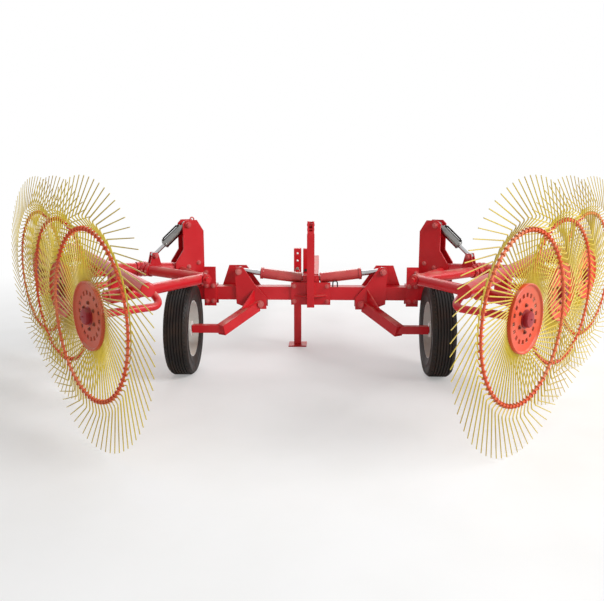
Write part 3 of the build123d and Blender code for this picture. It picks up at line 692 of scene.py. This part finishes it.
@dataclass
class RakeWheel(Assembly):
    """Raking wheel: sprung wire tines between two hub discs, tied by a hoop with clips."""

    number: int = 1
    tines: int = 76
    wire: float = 0.0036
    hoop_r: float = 0.440
    hoop_wire: float = 0.0072
    hoop_set: float = 0.0106
    clip_wire: float = 0.0040
    disc_r: float = 0.178
    disc_back: float = 0.0085
    recess: float = 0.002
    slot_r: Pair = (0.1075, 0.1295)
    core_r: float = 0.040
    bearing_r: float = 0.046
    bearing_end: float = 0.0705
    cap_r: float = 0.042
    cap_end: float = 0.0425
    slots: int = 18
    bolt_r: float = 0.068
    bolts: int = 6

    BODY: ClassVar = "rake_wheel"
    SLOT: ClassVar = "hub_orange"
    # A tine's bends from the hub outwards: radius, angle round the wheel in degrees, and set to the rear.
    BENDS: ClassVar = (
        (0.150, -4.0, 0.0), (0.430, 25.0, 0.0), (0.446, 24.9, 0.001), (0.484, 18.8, 0.016),
        (0.496, 17.3, 0.021), (0.507, 17.5, 0.023), (0.699, 33.0, 0.012),
    )

    def name(self, word: str) -> str:
        """Full name, with the wheel's number and side."""
        return f"{word}_{self.number}_{self.side.value}"

    @property
    def place(self) -> Matrix:
        """Frame of the right wheel, +Z to the rear along its axle."""
        spot, axle = joint_frame(f"rake_spin_{self.number}_{Side.RIGHT.value}")
        return facing(spot, -axle)

    def build_tines(self) -> None:
        """Forms the ring of bent wire tines."""
        self.rod([round_wheel(*bend) for bend in self.BENDS], self.wire, 6, 0.7)
        self.repeat(self.tines)
        self.put("wire_tines", Finish.TINE_YELLOW, slot="tine_yellow", stands_for="rake_tines")

    def build_hoop(self) -> None:
        """Forms the round hoop and the clip that ties each tine to it."""
        reach = self.hoop_wire + 0.004
        top = self.hoop_set + self.hoop_wire + 0.0015
        bend = self.BENDS[1][1]
        clip = [(-reach, 0.0), (-reach * 0.6, top), (reach * 0.6, top), (reach, 0.0)]
        self.rod([round_wheel(self.hoop_r + r, bend, h) for r, h in clip], self.clip_wire, 5)
        self.repeat(self.tines)
        middle = Matrix.Translation((0.0, 0.0, self.hoop_set))
        self.ring(middle, self.hoop_r, self.hoop_wire, 2 * self.tines)
        self.put("tied_hoop", Finish.HOOP_ORANGE, stands_for="rake_hoop")

    def build_hub(self) -> None:
        """Forms the lipped hub with its slots and bearing, and its bolts."""
        back, edge = self.disc_back, self.disc_r
        floor = back - self.recess
        inner, outer = self.slot_r
        face = [(self.core_r, back), (0.050, back), (0.053, floor)]
        face += [(inner, floor), (outer, floor), (0.134, back)]
        lip = [(edge - 0.016, back), (edge - 0.011, back + 0.003), (edge - 0.008, back + 0.010)]
        lip += [(edge - 0.003, back + 0.0115), (edge, back + 0.009)]
        lip += [(edge, 0.004 - back), (edge - 0.006, -back)]
        bearing = [(self.bearing_r + 0.012, -back), (self.bearing_r, -back - 0.012),
                   (self.bearing_r, -self.bearing_end), (self.core_r, -self.bearing_end)]
        self.lathe(face + lip + bearing, ORIGIN, 4 * self.slots, closed=True)
        ring = []
        for cell in self.bm.faces:
            middle = cell.calc_center_median()
            if inner < middle.xy.length < outer and middle.z > 0.0:
                ring.append((math.atan2(middle.y, middle.x), cell))
        ring.sort(key=lambda item: item[0])
        # The sunk slot floors take the dark second finish, painted shade in the slots.
        self.sink([cell for index, (_, cell) in enumerate(ring) if index % 4 < 2], 0.0014, 0.004)
        self.put("slotted_hub", Finish.HUB_ORANGE, Finish.SLOT_DARK, stands_for="rake_hub")
        for index in range(self.bolts):
            spot = round_wheel(self.bolt_r, 360.0 * (index + 0.5) / self.bolts, floor)
            self.bolt(facing(spot, UP, FRONT), 0.013)
        self.put("hub_bolts", Finish.BOLT_DARK)

    def build_cap(self) -> None:
        """Forms the domed bearing cap with its grease nipple."""
        base, end, edge = self.disc_back, self.cap_end, self.cap_r
        dome = [(edge + 0.006, base), (edge + 0.006, base + 0.004), (edge, base + 0.005), (edge, end - 0.012),
                (edge - 0.004, end - 0.006), (edge * 0.6, end - 0.0035), (0.0, end - 0.003)]
        self.lathe(dome, ORIGIN, 32)
        seat, neck = 0.004, 0.0022
        nipple = [(seat, end - 0.005), (seat, end - 0.001)]
        nipple += [(neck, end), (neck, end + 0.004), (0.0, end + 0.005)]
        self.lathe(nipple, ORIGIN, 8)
        self.put("hub_cap", Finish.CAP_RED)


@dataclass
class RoadWheel(Assembly):
    """Road wheel: ribbed tyre on a white disc wheel with nuts."""

    radius: float = 0.330
    half: float = 0.080
    seat: float = 0.065
    bead_r: float = 0.200
    shoulder: float = 0.012
    crown: float = 0.007
    grooves: int = 6
    groove: float = 0.0075
    depth: float = 0.009
    steps: int = 120
    nuts: int = 5
    nut_r: float = 0.085
    disc: float = 0.025
    valve_r: float = 0.184

    BODY: ClassVar = "road_wheel"
    SLOT: ClassVar = "rim_white"
    NODES: ClassVar = {Finish.RIM_WHITE: ("road_rim",)}

    @property
    def place(self) -> Matrix:
        """Frame of the right wheel, +Z out along its axle."""
        spot, _ = joint_frame(f"road_wheel_{Side.RIGHT.value}")
        return facing(spot, RIGHT)

    def tread(self) -> list[Pair]:
        """Half-section's tread from the left shoulder to the right one, grooves included.

        Returns:
            Radius and height of each point.
        """
        edge = self.half - self.shoulder
        flat = edge - self.shoulder
        high, low = self.radius, self.radius - self.depth
        lip, root = self.groove / 2.0, self.groove / 2.0 - 0.0015
        points = [(high - self.crown, -edge), (high, -flat)]
        for index in range(self.grooves):
            middle = 2.0 * flat * (index / (self.grooves - 1) - 0.5) * 0.86
            points += [(high, middle - lip), (low, middle - root), (low, middle + root), (high, middle + lip)]
        return points + [(high, flat), (high - self.crown, edge)]

    def build_tyre(self) -> None:
        """Forms the tyre with fine ribs, shoulder sipes and moulded sidewall rings."""
        bead, side = self.bead_r, self.half
        wall = [(bead, self.seat), (bead + 0.012, self.seat + 0.006), (bead + 0.040, side - 0.003),
                (bead + 0.046, side), (bead + 0.052, side), (bead + 0.056, side - 0.002),
                (bead + 0.078, side - 0.002), (bead + 0.082, side),
                (self.radius - self.crown - self.shoulder, side)]
        section = [(r, -h) for r, h in wall] + self.tread() + list(reversed(wall))
        self.lathe(section, ORIGIN, self.steps, closed=True)
        edge = self.half - 2.0 * self.shoulder
        turn = FULL_TURN / self.steps
        cuts = []
        for face in self.bm.faces:
            middle = face.calc_center_median()
            step = round(math.atan2(middle.y, middle.x) / turn - 0.5)
            if middle.xy.length > self.radius - self.crown and abs(middle.z) > edge and step % 2:
                cuts.append(face)
        self.sink(cuts, 0.0025, 0.003)
        self.put("ribbed_tyre", Finish.TYRE_BLACK, Finish.PLUG_BLACK, slot="tyre_black", stands_for="tyre")

    def build_nuts(self) -> None:
        """Forms the wheel nuts, the hub's dust cap and the valve."""
        for index in range(self.nuts):
            spot = round_wheel(self.nut_r, 360.0 / self.nuts * index + 18.0, self.disc)
            self.bolt(facing(spot, UP, FRONT), 0.022, 0.008)
        self.lathe([(0.036, 0.055), (0.036, 0.063), (0.031, 0.070), (0.0, 0.072)], ORIGIN, 28)
        valve = round_wheel(self.valve_r, 54.0)
        self.rod([valve, valve + UP * 0.030], 0.0045, 10, 0.7)
        self.put("wheel_nuts", Finish.BOLT_ZINC)


@dataclass
class Mast(Assembly):
    """Centre mast's fittings: U-bolts round the beam, head pins, weld beads."""

    face: float = -0.062
    low: float = 0.448
    high: float = 0.618
    post: float = 0.0275
    rib: Pair = (0.5125, 0.5235)
    grip_x: float = 0.124
    bow: float = 0.058
    head_y: float = -0.0895
    head_z: float = 1.052
    pin_step: float = 0.034
    roller: Pair = (0.0125, 0.0112)

    NODES: ClassVar = {Finish.FRAME_RED: ("centre_mast",)}

    def build_grips(self) -> None:
        """Forms the U-bolts and their nuts."""
        for end in BOTH:
            self.grip(end * self.grip_x, self.face, self.bow)
        self.put("mast_grips", Finish.BOLT_RED)

    def build_head(self) -> None:
        """Forms the pins across the head's ears, with the rollers and the plate between them."""
        spots = [Vector((0.0, self.head_y, self.head_z - step)) for step in (0.0, self.pin_step)]
        for spot, reach in zip(spots, (0.028, 0.0268)):
            self.rod([spot + RIGHT * (end * reach) for end in BOTH], 0.0096, 20)
        radius, half = self.roller
        for spot in spots:
            self.lathe([(0.0, -half), (radius, -half), (radius, half), (0.0, half)], facing(spot, RIGHT), 24)
        self.box((-0.0118, self.head_y + 0.014, 1.003), (0.0118, self.head_y + 0.023, 1.074), 0.001)
        self.put("mast_head_pins", Finish.FRAME_RED)

    def build_welds(self) -> None:
        """Forms the weld beads of the post and the ribs."""
        for x in (-self.post, self.post):
            self.weld((x, self.face, self.low + 0.003), (x, self.face, self.high - 0.003), 0.0045)
            for z in self.rib:
                self.weld((x * 1.2, self.face, z), (x * 4.2, self.face, z), 0.004)
        self.put("mast_welds", Finish.FRAME_RED)


@dataclass
class Beam(Assembly):
    """Cross-beam's and drawbar's fittings: end plugs, hose hook, weld beads."""

    half: float = 0.880
    top: float = 0.583
    height: float = 0.533
    bore: float = 0.0415
    gusset_z: float = 0.539
    hook: Pair = (0.183, -0.0462)

    NODES: ClassVar = {Finish.FRAME_RED: ("cross_beam", "drawbar")}

    def build_plugs(self) -> None:
        """Forms the plugs in the beam's ends."""
        # Black plastic plugs whose dark also stands in for the shade inside an open tube end, partly painted
        # shade.
        for end in BOTH:
            left, right = sorted((end * (self.half - 0.010), end * (self.half + 0.004)))
            low = (left, -self.bore, self.height - self.bore)
            self.box(low, (right, self.bore, self.height + self.bore), 0.003)
        self.put("beam_plugs", Finish.PLUG_BLACK)

    def build_hook(self) -> None:
        """Forms the bent hose hook on the beam's top."""
        middle, y = self.hook
        bow = [(-0.017, 0.0), (-0.017, 0.034), (-0.010, 0.044), (0.010, 0.044), (0.017, 0.034), (0.017, 0.0)]
        self.rod([Vector((middle + x, y, self.top + z)) for x, z in bow], 0.0048, 8)
        self.put("hose_hook", Finish.PLUG_BLACK)

    def build_welds(self) -> None:
        """Forms the weld beads of the drawbar and its gussets."""
        z = self.gusset_z
        self.weld((-0.048, 0.050, self.top), (0.048, 0.050, self.top), 0.005)
        for end in BOTH:
            self.weld((end * 0.050, 0.052, z), (end * 0.050, 0.208, z), 0.004)
            self.weld((end * 0.052, 0.050, z), (end * 0.208, 0.050, z), 0.004)
        self.put("drawbar_welds", Finish.FRAME_RED)


@dataclass
class ParkingStand(Assembly):
    """Parking stand's fittings: setting pin with its ring, clip on the upright, weld beads."""

    x: float = -0.118
    y: float = 0.470
    pin_z: float = 0.660
    clip_z: float = 0.642
    drawbar: float = -0.050

    NODES: ClassVar = {Finish.FRAME_RED: ("stand_sleeve", "stand_leg")}

    def build_pin(self) -> None:
        """Forms the setting pin with its pull ring."""
        ends = [Vector((self.x, self.y + reach, self.pin_z)) for reach in (-0.056, 0.052)]
        self.rod(ends, 0.0082, 14, 0.7)
        self.lathe([(0.0, 0.0), (0.012, 0.0), (0.012, 0.006), (0.0, 0.008)], facing(ends[0], REAR), 16)
        self.ring(facing(ends[0] + Vector((0.0, -0.004, -0.020)), Vector((0.4, 1.0, 0.0))), 0.020, 0.0022)
        self.put("setting_pin", Finish.BOLT_ZINC, body="stand", slot="rod_chrome")

    def build_clip(self) -> None:
        """Forms the wire clip that hangs on the upright."""
        spot = Vector((self.drawbar, self.y - 0.030, self.clip_z))
        self.bolt(facing(spot, REAR), 0.014)
        self.ring(facing(spot + Vector((0.0, -0.008, -0.020)), Vector((-0.3, 1.0, 0.0))), 0.022, 0.0024)
        self.put("clip_ring", Finish.PLUG_BLACK)

    def build_welds(self) -> None:
        """Forms the weld beads of the sleeve's spacer and the upright."""
        rear, upright = self.y - 0.040, self.y - 0.028
        for x in (-0.078, self.drawbar):
            self.weld((x, rear, 0.486), (x, rear, 0.580), 0.004)
        self.weld((-0.070, upright, 0.583), (-0.018, upright, 0.583), 0.004)
        self.put("sleeve_welds", Finish.FRAME_RED)


@dataclass
class Tower(Assembly):
    """Tower's fittings: clamp and foot bolts, pin heads, shaft nuts, weld beads, lifting eye."""

    face: float = -0.062
    bow: float = 0.070
    grips: Pair = (0.735, 0.785)
    cheek: float = 0.064
    boss: float = 0.072
    foot_z: float = 0.595
    pin: Pair = (-0.056, 1.046)
    hinge_z: float = 0.710
    shaft_back: float = 0.603

    NODES: ClassVar = {Finish.FRAME_RED: ("tower", "hinge_shaft")}
    # Bolts on the rear cheek: distance out from the hinge, and height.
    FOOT_BOLTS: ClassVar = ((-0.132, 0.758), (-0.054, 0.732), (-0.084, 0.672))

    def build_bolts(self) -> None:
        """Forms the clamp's U-bolts and the bolts of the cheeks and the pins."""
        for x in self.grips:
            self.grip(x, self.face, self.bow)
        for z in (0.640, 0.695):
            self.bolt(facing(Vector((self.grips[1], self.face, z)), REAR), 0.019, 0.006)
        for out, height in self.FOOT_BOLTS:
            self.bolt(facing(from_hinge(out, height, -self.cheek), -ALONG), 0.020)
            self.bolt(facing(from_hinge(out, height, self.cheek), ALONG), 0.020, 0.008)
        for end in BOTH:
            self.bolt(facing(from_hinge(*self.pin, end * self.boss), ALONG * end), 0.027)
        self.put("tower_bolts", Finish.BOLT_RED)

    def build_shaft_ends(self) -> None:
        """Forms the nuts on the hinge shaft's ends."""
        self.bolt(facing(from_hinge(0.0, self.hinge_z, -self.shaft_back), -ALONG), 0.036)
        self.bolt(facing(from_hinge(0.0, self.hinge_z, self.cheek + 0.008), ALONG), 0.036)
        self.put("shaft_nuts", Finish.FRAME_RED)

    def build_welds(self) -> None:
        """Forms the weld beads at the cheeks' feet and on the clamp."""
        foot = self.foot_z
        for along in (-self.cheek, self.cheek):
            self.weld(from_hinge(-0.172, foot, along), from_hinge(0.044, foot, along), 0.005)
        self.weld(from_hinge(-0.174, foot, -0.062), from_hinge(-0.174, 1.000, -0.062), 0.004)
        self.weld((0.717, -0.050, foot), (0.803, -0.050, foot), 0.0045)
        self.put("tower_welds", Finish.FRAME_RED)

    def build_eye(self) -> None:
        """Forms the lifting eye on the rear cheek's top, on the left only."""
        if self.side is Side.LEFT:
            self.ring(facing(from_hinge(-0.090, 1.086, -0.058), ALONG), 0.014, 0.0055)
            self.put("lifting_eye", Finish.BOLT_RED)


@dataclass
class WheelArm(Assembly):
    """Bell crank's fittings: pin nuts, and the gusset and weld bead of its limb."""

    pin_end: float = 0.077
    rod_pin: Pair = (0.540, 0.701)
    pivot: Pair = (0.380, 0.455)
    limb: Triple = (0.426, -0.069, 0.431)
    gusset: Triple = (0.150, 0.125, 0.010)

    BODY: ClassVar = "arm"
    NODES: ClassVar = {Finish.FRAME_RED: ("wheel_arm",)}

    def build_nuts(self) -> None:
        """Forms the nuts on the pins' ends."""
        for (x, z), across in ((self.pivot, 0.034), (self.rod_pin, 0.030)):
            for aim in (REAR, FRONT):
                self.bolt(facing(Vector((x, 0.0, z)) + aim * self.pin_end, aim), across)
        self.put("arm_nuts", Finish.BOLT_RED)

    def build_weld(self) -> None:
        """Forms the gusset on the limb and the weld bead round its root."""
        across, tall = Vector((0.0397, 0.0, -0.0064)), Vector((0.0, 0.0, 0.0396))
        signs = ((-1, -1), (1, -1), (1, 1), (-1, 1), (-1, -1))
        corners = [Vector(self.limb) + across * u + tall * v for u, v in signs]
        for start, end in zip(corners, corners[1:]):
            self.weld(start, end, 0.005)
        root = Vector(self.limb) + UP * 0.010
        run = Vector((0.5547, -0.8320, 0.0))
        upright = Matrix((run, UP.cross(run), UP)).transposed().to_4x4()
        self.wedge(Matrix.Translation(root) @ upright, *self.gusset)
        self.put("arm_weld", Finish.FRAME_RED)


@dataclass
class LiftCylinder(Assembly):
    """Lift cylinder's fittings: ports, wiper seal, weld rings."""

    base: Triple = (0.036, 0.0, 0.640)
    pin: Triple = (0.540, 0.0, 0.701)
    radius: float = 0.040
    mouth: float = 0.346

    BODY: ClassVar = "lift_barrel"
    SLOT: ClassVar = "barrel_grey"
    NODES: ClassVar = {Finish.BARREL_RED: ("lift_barrel",), Finish.ROD_CHROME: ("lift_rod",)}

    @property
    def line(self) -> Vector:
        """Direction from the base to the rod's pin."""
        return (Vector(self.pin) - Vector(self.base)).normalized()

    def spot(self, reach: float) -> Vector:
        """Point along the cylinder from its base."""
        return Vector(self.base) + self.line * reach

    def build_ports(self) -> None:
        """Forms the ports and the weld rings."""
        for reach in (0.062, 0.306):
            self.port(facing(self.spot(reach) + FRONT * (self.radius - 0.002), FRONT), 0.010)
        for reach in (0.040, self.mouth - 0.019):
            self.ring(facing(self.spot(reach), self.line), self.radius + 0.0005, 0.0032, 40)
        self.put("lift_ports", Finish.BARREL_RED, slot="barrel_red")

    def build_seal(self) -> None:
        """Forms the wiper seal at the barrel's mouth."""
        self.wiper(facing(self.spot(self.mouth), self.line), 0.0206, 0.027, 32)
        self.put("lift_seal", Finish.PLUG_BLACK)


@dataclass
class WingCylinder(Assembly):
    """Wing cylinder's fittings: transfer pipe with unions, gland ring, wiper seal."""

    top: Pair = (-0.056, 1.046)
    lug: Pair = (0.192, 0.826)
    radius: float = 0.031
    mouth: float = 0.222
    pipe: Pair = (0.052, 0.204)
    pipe_off: float = 0.0405
    pipe_bend: float = 0.008
    pipe_foot: float = 0.034

    BODY: ClassVar = "wing_barrel"
    SLOT: ClassVar = "barrel_grey"
    NODES: ClassVar = {Finish.BARREL_GREY: ("wing_barrel",), Finish.ROD_CHROME: ("wing_rod",)}

    @property
    def line(self) -> Vector:
        """Direction from the top pin to the lug."""
        return (from_hinge(*self.lug) - from_hinge(*self.top)).normalized()

    def spot(self, reach: float, off: float = 0.0) -> Vector:
        """Point along the cylinder from its top pin, and off its line upwards."""
        return from_hinge(*self.top) + self.line * reach + ALONG.cross(self.line) * -off

    def build_pipe(self) -> None:
        """Forms the transfer pipe with its unions."""
        union = [(0.0105, -0.004), (0.0105, 0.008), (0.0, 0.008)]
        for reach in self.pipe:
            self.lathe(union, facing(self.spot(reach, self.radius), -ALONG.cross(self.line)), 18)
        (first, last), high, bend = self.pipe, self.pipe_off, self.pipe_bend
        path = [(first, self.pipe_foot), (first, high - bend), (first + bend, high)]
        path += [(last - bend, high), (last, high - bend), (last, self.pipe_foot)]
        self.rod([self.spot(*point) for point in path], 0.0068, 12)
        self.put("transfer_pipe", Finish.PLUG_BLACK)

    def build_gland(self) -> None:
        """Forms the gland ring and the wiper seal at the barrel's mouth."""
        self.ring(facing(self.spot(self.mouth - 0.008), self.line), self.radius - 0.001, 0.0042, 36)
        self.wiper(facing(self.spot(self.mouth), self.line), 0.0146, 0.020, 28)
        self.put("wing_gland", Finish.BARREL_GREY)


@dataclass
class Wing(Assembly):
    """Wing's fittings: tube plugs, banded sleeve, bolts, crank washers and pins, weld beads."""

    boom_z: float = 0.840
    arm_root: float = 0.715
    arm_rise: float = 0.0448
    lug: Pair = (0.192, 0.826)
    lug_end: float = 0.046
    lug_half: float = 0.039
    brace_end: float = 0.55
    brace_drop: float = 0.150
    crank_z: float = 0.774
    cranks: int = 3

    BODY: ClassVar = "wing"
    NODES: ClassVar = {Finish.FRAME_RED: (
        "wing_boom", "wing_lift_arm", "wing_brace_front", "wing_brace_rear",
        "rake_crank_1", "rake_crank_2", "rake_crank_3",
    )}
    FIRST_BOOM: ClassVar = Vector((0.89331, -1.52435, 0.0))
    STEP: ClassVar = ALONG * 0.907
    AXLE: ClassVar = Vector((-0.73728, 0.67559, 0.0))
    FIRST_CRANK: ClassVar = Vector((1.15594, -1.62259, 0.0))
    APEX: ClassVar = from_hinge(0.0, 0.710, -0.545)

    def boom_spot(self, step: float, height: float) -> Vector:
        """Point over or under the boom, in raking-wheel steps."""
        return self.FIRST_BOOM + self.STEP * step + UP * height

    def arm_z(self, out: float) -> float:
        """Height of the lift arm's middle, out from the hinge."""
        return self.arm_root + self.arm_rise * out

    def arm_spot(self, out: float) -> Vector:
        """Point on the lift arm's middle, out from the hinge."""
        return from_hinge(out, self.arm_z(out))

    def crank_spot(self, number: int, reach: float) -> Vector:
        """Point on a crank's pivot leg, forward along its axle."""
        return self.FIRST_CRANK + self.STEP * number + self.AXLE * reach + UP * self.crank_z

    def build_plugs(self) -> None:
        """Forms the plugs in the tubes' ends."""
        self.plug(facing(self.boom_spot(-0.25, self.boom_z), -ALONG), 0.036)
        self.plug(facing(self.boom_spot(2.30, self.boom_z), ALONG), 0.036)
        end = self.boom_spot(self.brace_end, self.boom_z - self.brace_drop)
        run = (end - self.APEX).normalized()
        self.plug(facing(end + run * 0.040, run), 0.034)
        tip = self.arm_spot(0.738)
        self.plug(facing(tip, tip - self.arm_spot(0.670)), 0.043)
        self.put("tube_plugs", Finish.FRAME_RED)

    def build_sleeve(self) -> None:
        """Forms the banded sleeve on the lift arm, with its open mouth."""
        start, end = self.arm_spot(0.244), self.arm_spot(0.330)
        place, length = facing(start, end - start), (end - start).length
        outer, band, inner, tube = 0.0530, 0.0565, 0.0462, 0.0448
        sleeve = [(tube, 0.0), (outer, 0.002)]
        for low in (0.014, 0.044):
            sleeve += [(outer, low), (band, low + 0.003), (band, low + 0.017), (outer, low + 0.020)]
        sleeve += [(outer, length), (outer - 0.003, length + 0.0005)]
        sleeve += [(inner, length - 0.016), (tube, length - 0.016)]
        self.lathe(sleeve, place, 40)
        # Faces inside the open mouth take the dark second finish, painted shade inside the sleeve.
        for face in self.bm.faces:
            middle = place.inverted() @ face.calc_center_median()
            if middle.xy.length < outer - 0.002 and middle.z > 0.5 * length:
                face.material_index = 1
        self.put("arm_sleeve", Finish.FRAME_RED, Finish.SLOT_DARK)

    def build_bolts(self) -> None:
        """Forms the heads of the lug's pin, the band bolts and the nipples."""
        for end in BOTH:
            self.bolt(facing(from_hinge(*self.lug, end * self.lug_end), ALONG * end), 0.024)
        finish = self.arm_spot(0.310)
        run = (finish - self.APEX).normalized()
        across = run.cross(UP).normalized()
        for back in (0.072, 0.112):
            for aim in (across.cross(run), across):
                self.bolt(facing(finish - run * back + aim * 0.0435, aim), 0.013)
        self.nipple(facing(self.APEX + UP * 0.0355, UP))
        for number in range(self.cranks):
            self.nipple(facing(self.crank_spot(number, 0.234) - UP * 0.0315, -UP))
        self.put("wing_bolts", Finish.BOLT_RED)

    def build_crank_ends(self) -> None:
        """Forms the washers and split pins that hold the cranks in their bushes."""
        bore, rim, thick = 0.0215, 0.034, 0.004
        lean = UP + self.AXLE.cross(UP)
        for number in range(self.cranks):
            seat = facing(self.crank_spot(number, 0.1445), -self.AXLE)
            self.lathe([(bore, 0.0), (rim, 0.0), (rim, thick), (bore, thick)], seat, 28, closed=True)
            middle = self.crank_spot(number, 0.133)
            self.rod([middle - lean * 0.020, middle + lean * 0.022], 0.0028, 8)
            self.ring(facing(middle + lean * 0.0245, self.AXLE), 0.005, 0.0024, 14)
        self.put("crank_pins", Finish.BOLT_RED)

    def build_welds(self) -> None:
        """Forms the weld beads of the lug, the saddles and the bushes."""
        root = self.arm_z(self.lug[0]) + 0.022
        for along in (-self.lug_half, self.lug_half):
            self.weld(from_hinge(0.148, root - 0.002, along), from_hinge(0.236, root + 0.002, along), 0.0045)
        for middle in (from_hinge(0.670, self.boom_z), self.boom_spot(self.brace_end, self.boom_z)):
            for out in (-0.038, 0.038):
                seam = [middle + OUTWARD * out + ALONG * reach for reach in (-0.046, 0.046)]
                self.weld(*seam, 0.0045)
        for number in range(self.cranks):
            self.ring(facing(self.crank_spot(number, 0.321), self.AXLE), 0.0315, 0.003, 28)
        self.put("wing_welds", Finish.FRAME_RED)


@dataclass
class Studio:
    """Pale floor, soft light, and a camera behind the machine at the photo's angle."""

    floor_half: float = 14.0
    near: float = 2.4
    far: float = 6.5
    lamp_size: float = 4.0
    lit: Triple = (0.0, -0.4, 0.6)
    eye: Triple = (0.085, -4.88, 1.383)
    pitch: float = 10.6
    yaw: float = 1.79
    focus_px: float = 650.0
    image_px: float = 604.0

    # Each lamp's name, place and power in watts.
    LAMPS: ClassVar = (
        ("key", (6.8, -3.8, 5.0), 720.0),
        ("fill", (-5.5, -4.5, 4.0), 60.0),
        ("rear", (-1.0, 5.5, 5.0), 200.0),
    )

    def build_floor(self) -> None:
        """Lays the floor, which glows white to the camera further off."""
        form = Form()
        bmesh.ops.create_grid(form.bm, x_segments=1, y_segments=1, size=self.floor_half)
        mesh = bpy.data.meshes.new("floor")
        form.bm.to_mesh(mesh)
        form.bm.free()
        material, graph, shader = new_material("pale_floor")
        grain = graph.ramp(graph.noise(2.0, 6.0), 0.3, 0.8)
        pale = graph.mix(grain, tone(240, 240, 240), tone(235, 235, 234))
        coords = graph.add("TexCoord", {}).outputs["Object"]
        reach = graph.add("VectorMath", {0: coords}, operation="LENGTH").outputs["Value"]
        seen = graph.add("LightPath", {}).outputs["Is Camera Ray"]
        distance = graph.ramp(reach, self.near, self.far)
        fade = graph.add("MapRange", {"Value": distance, "To Min": 0.3}).outputs[0]
        glow = graph.times(fade, seen)
        graph.feed(shader, {
            "Base Color": graph.mix(glow, pale, BLACK),
            "Emission Color": graph.mix(glow, BLACK, WHITE),
            "Emission Strength": 1.0,
            "Roughness": 0.9,
            "Specular IOR Level": 0.0,
        })
        mesh.materials.append(material)
        floor = bpy.data.objects.new("floor", mesh)
        bpy.context.scene.collection.objects.link(floor)

    def build_lamps(self) -> None:
        """Hangs the soft lamps that face the machine."""
        for name, spot, power in self.LAMPS:
            lamp = bpy.data.lights.new(name, "AREA")
            lamp.energy = power
            lamp.size = self.lamp_size
            holder = bpy.data.objects.new(name, lamp)
            holder.matrix_world = facing(Vector(spot), Vector(spot) - Vector(self.lit))
            bpy.context.scene.collection.objects.link(holder)

    def build_world(self) -> None:
        """Lights all round, with a white background to the camera."""
        world = bpy.data.worlds.new("studio")
        bpy.context.scene.world = world
        world.use_nodes = True
        graph = Graph(world.node_tree)
        rays = graph.add("LightPath", {}).outputs
        seen = graph.math("MAXIMUM", rays["Is Camera Ray"], rays["Is Glossy Ray"])
        seen = graph.math("MAXIMUM", seen, rays["Is Transmission Ray"])
        strength = graph.add("MapRange", {"Value": seen, "To Min": 0.36, "To Max": 1.0}).outputs[0]
        graph.feed(world.node_tree.nodes["Background"], {"Color": WHITE, "Strength": strength})

    def build_camera(self) -> None:
        """Sets the camera."""
        lens = bpy.data.cameras.new("camera")
        lens.sensor_fit = "HORIZONTAL"
        lens.sensor_width = 36.0
        lens.lens = self.focus_px / self.image_px * lens.sensor_width
        camera = bpy.data.objects.new("camera", lens)
        camera.location = self.eye
        camera.rotation_euler = (math.radians(90.0 - self.pitch), 0.0, math.radians(self.yaw))
        bpy.context.scene.collection.objects.link(camera)
        bpy.context.scene.camera = camera

    def build(self) -> None:
        """Sets up the whole studio."""
        self.build_floor()
        self.build_lamps()
        self.build_world()
        self.build_camera()
        bpy.context.scene.view_settings.view_transform = "Standard"


def main() -> None:
    """Builds every sub-assembly, then the studio."""
    logging.basicConfig(level=logging.INFO, format="%(message)s")
    for part in (Mast(), Beam(), ParkingStand()):
        part.build()
    for side in Side:
        for kind in (Tower, WheelArm, RoadWheel, LiftCylinder, Wing, WingCylinder):
            kind(side).build()
        for number in (1, 2, 3):
            RakeWheel(side, number).build()
    Studio().build()
    LOG.info("sizes written")


if __name__ == "__main__":
    main()
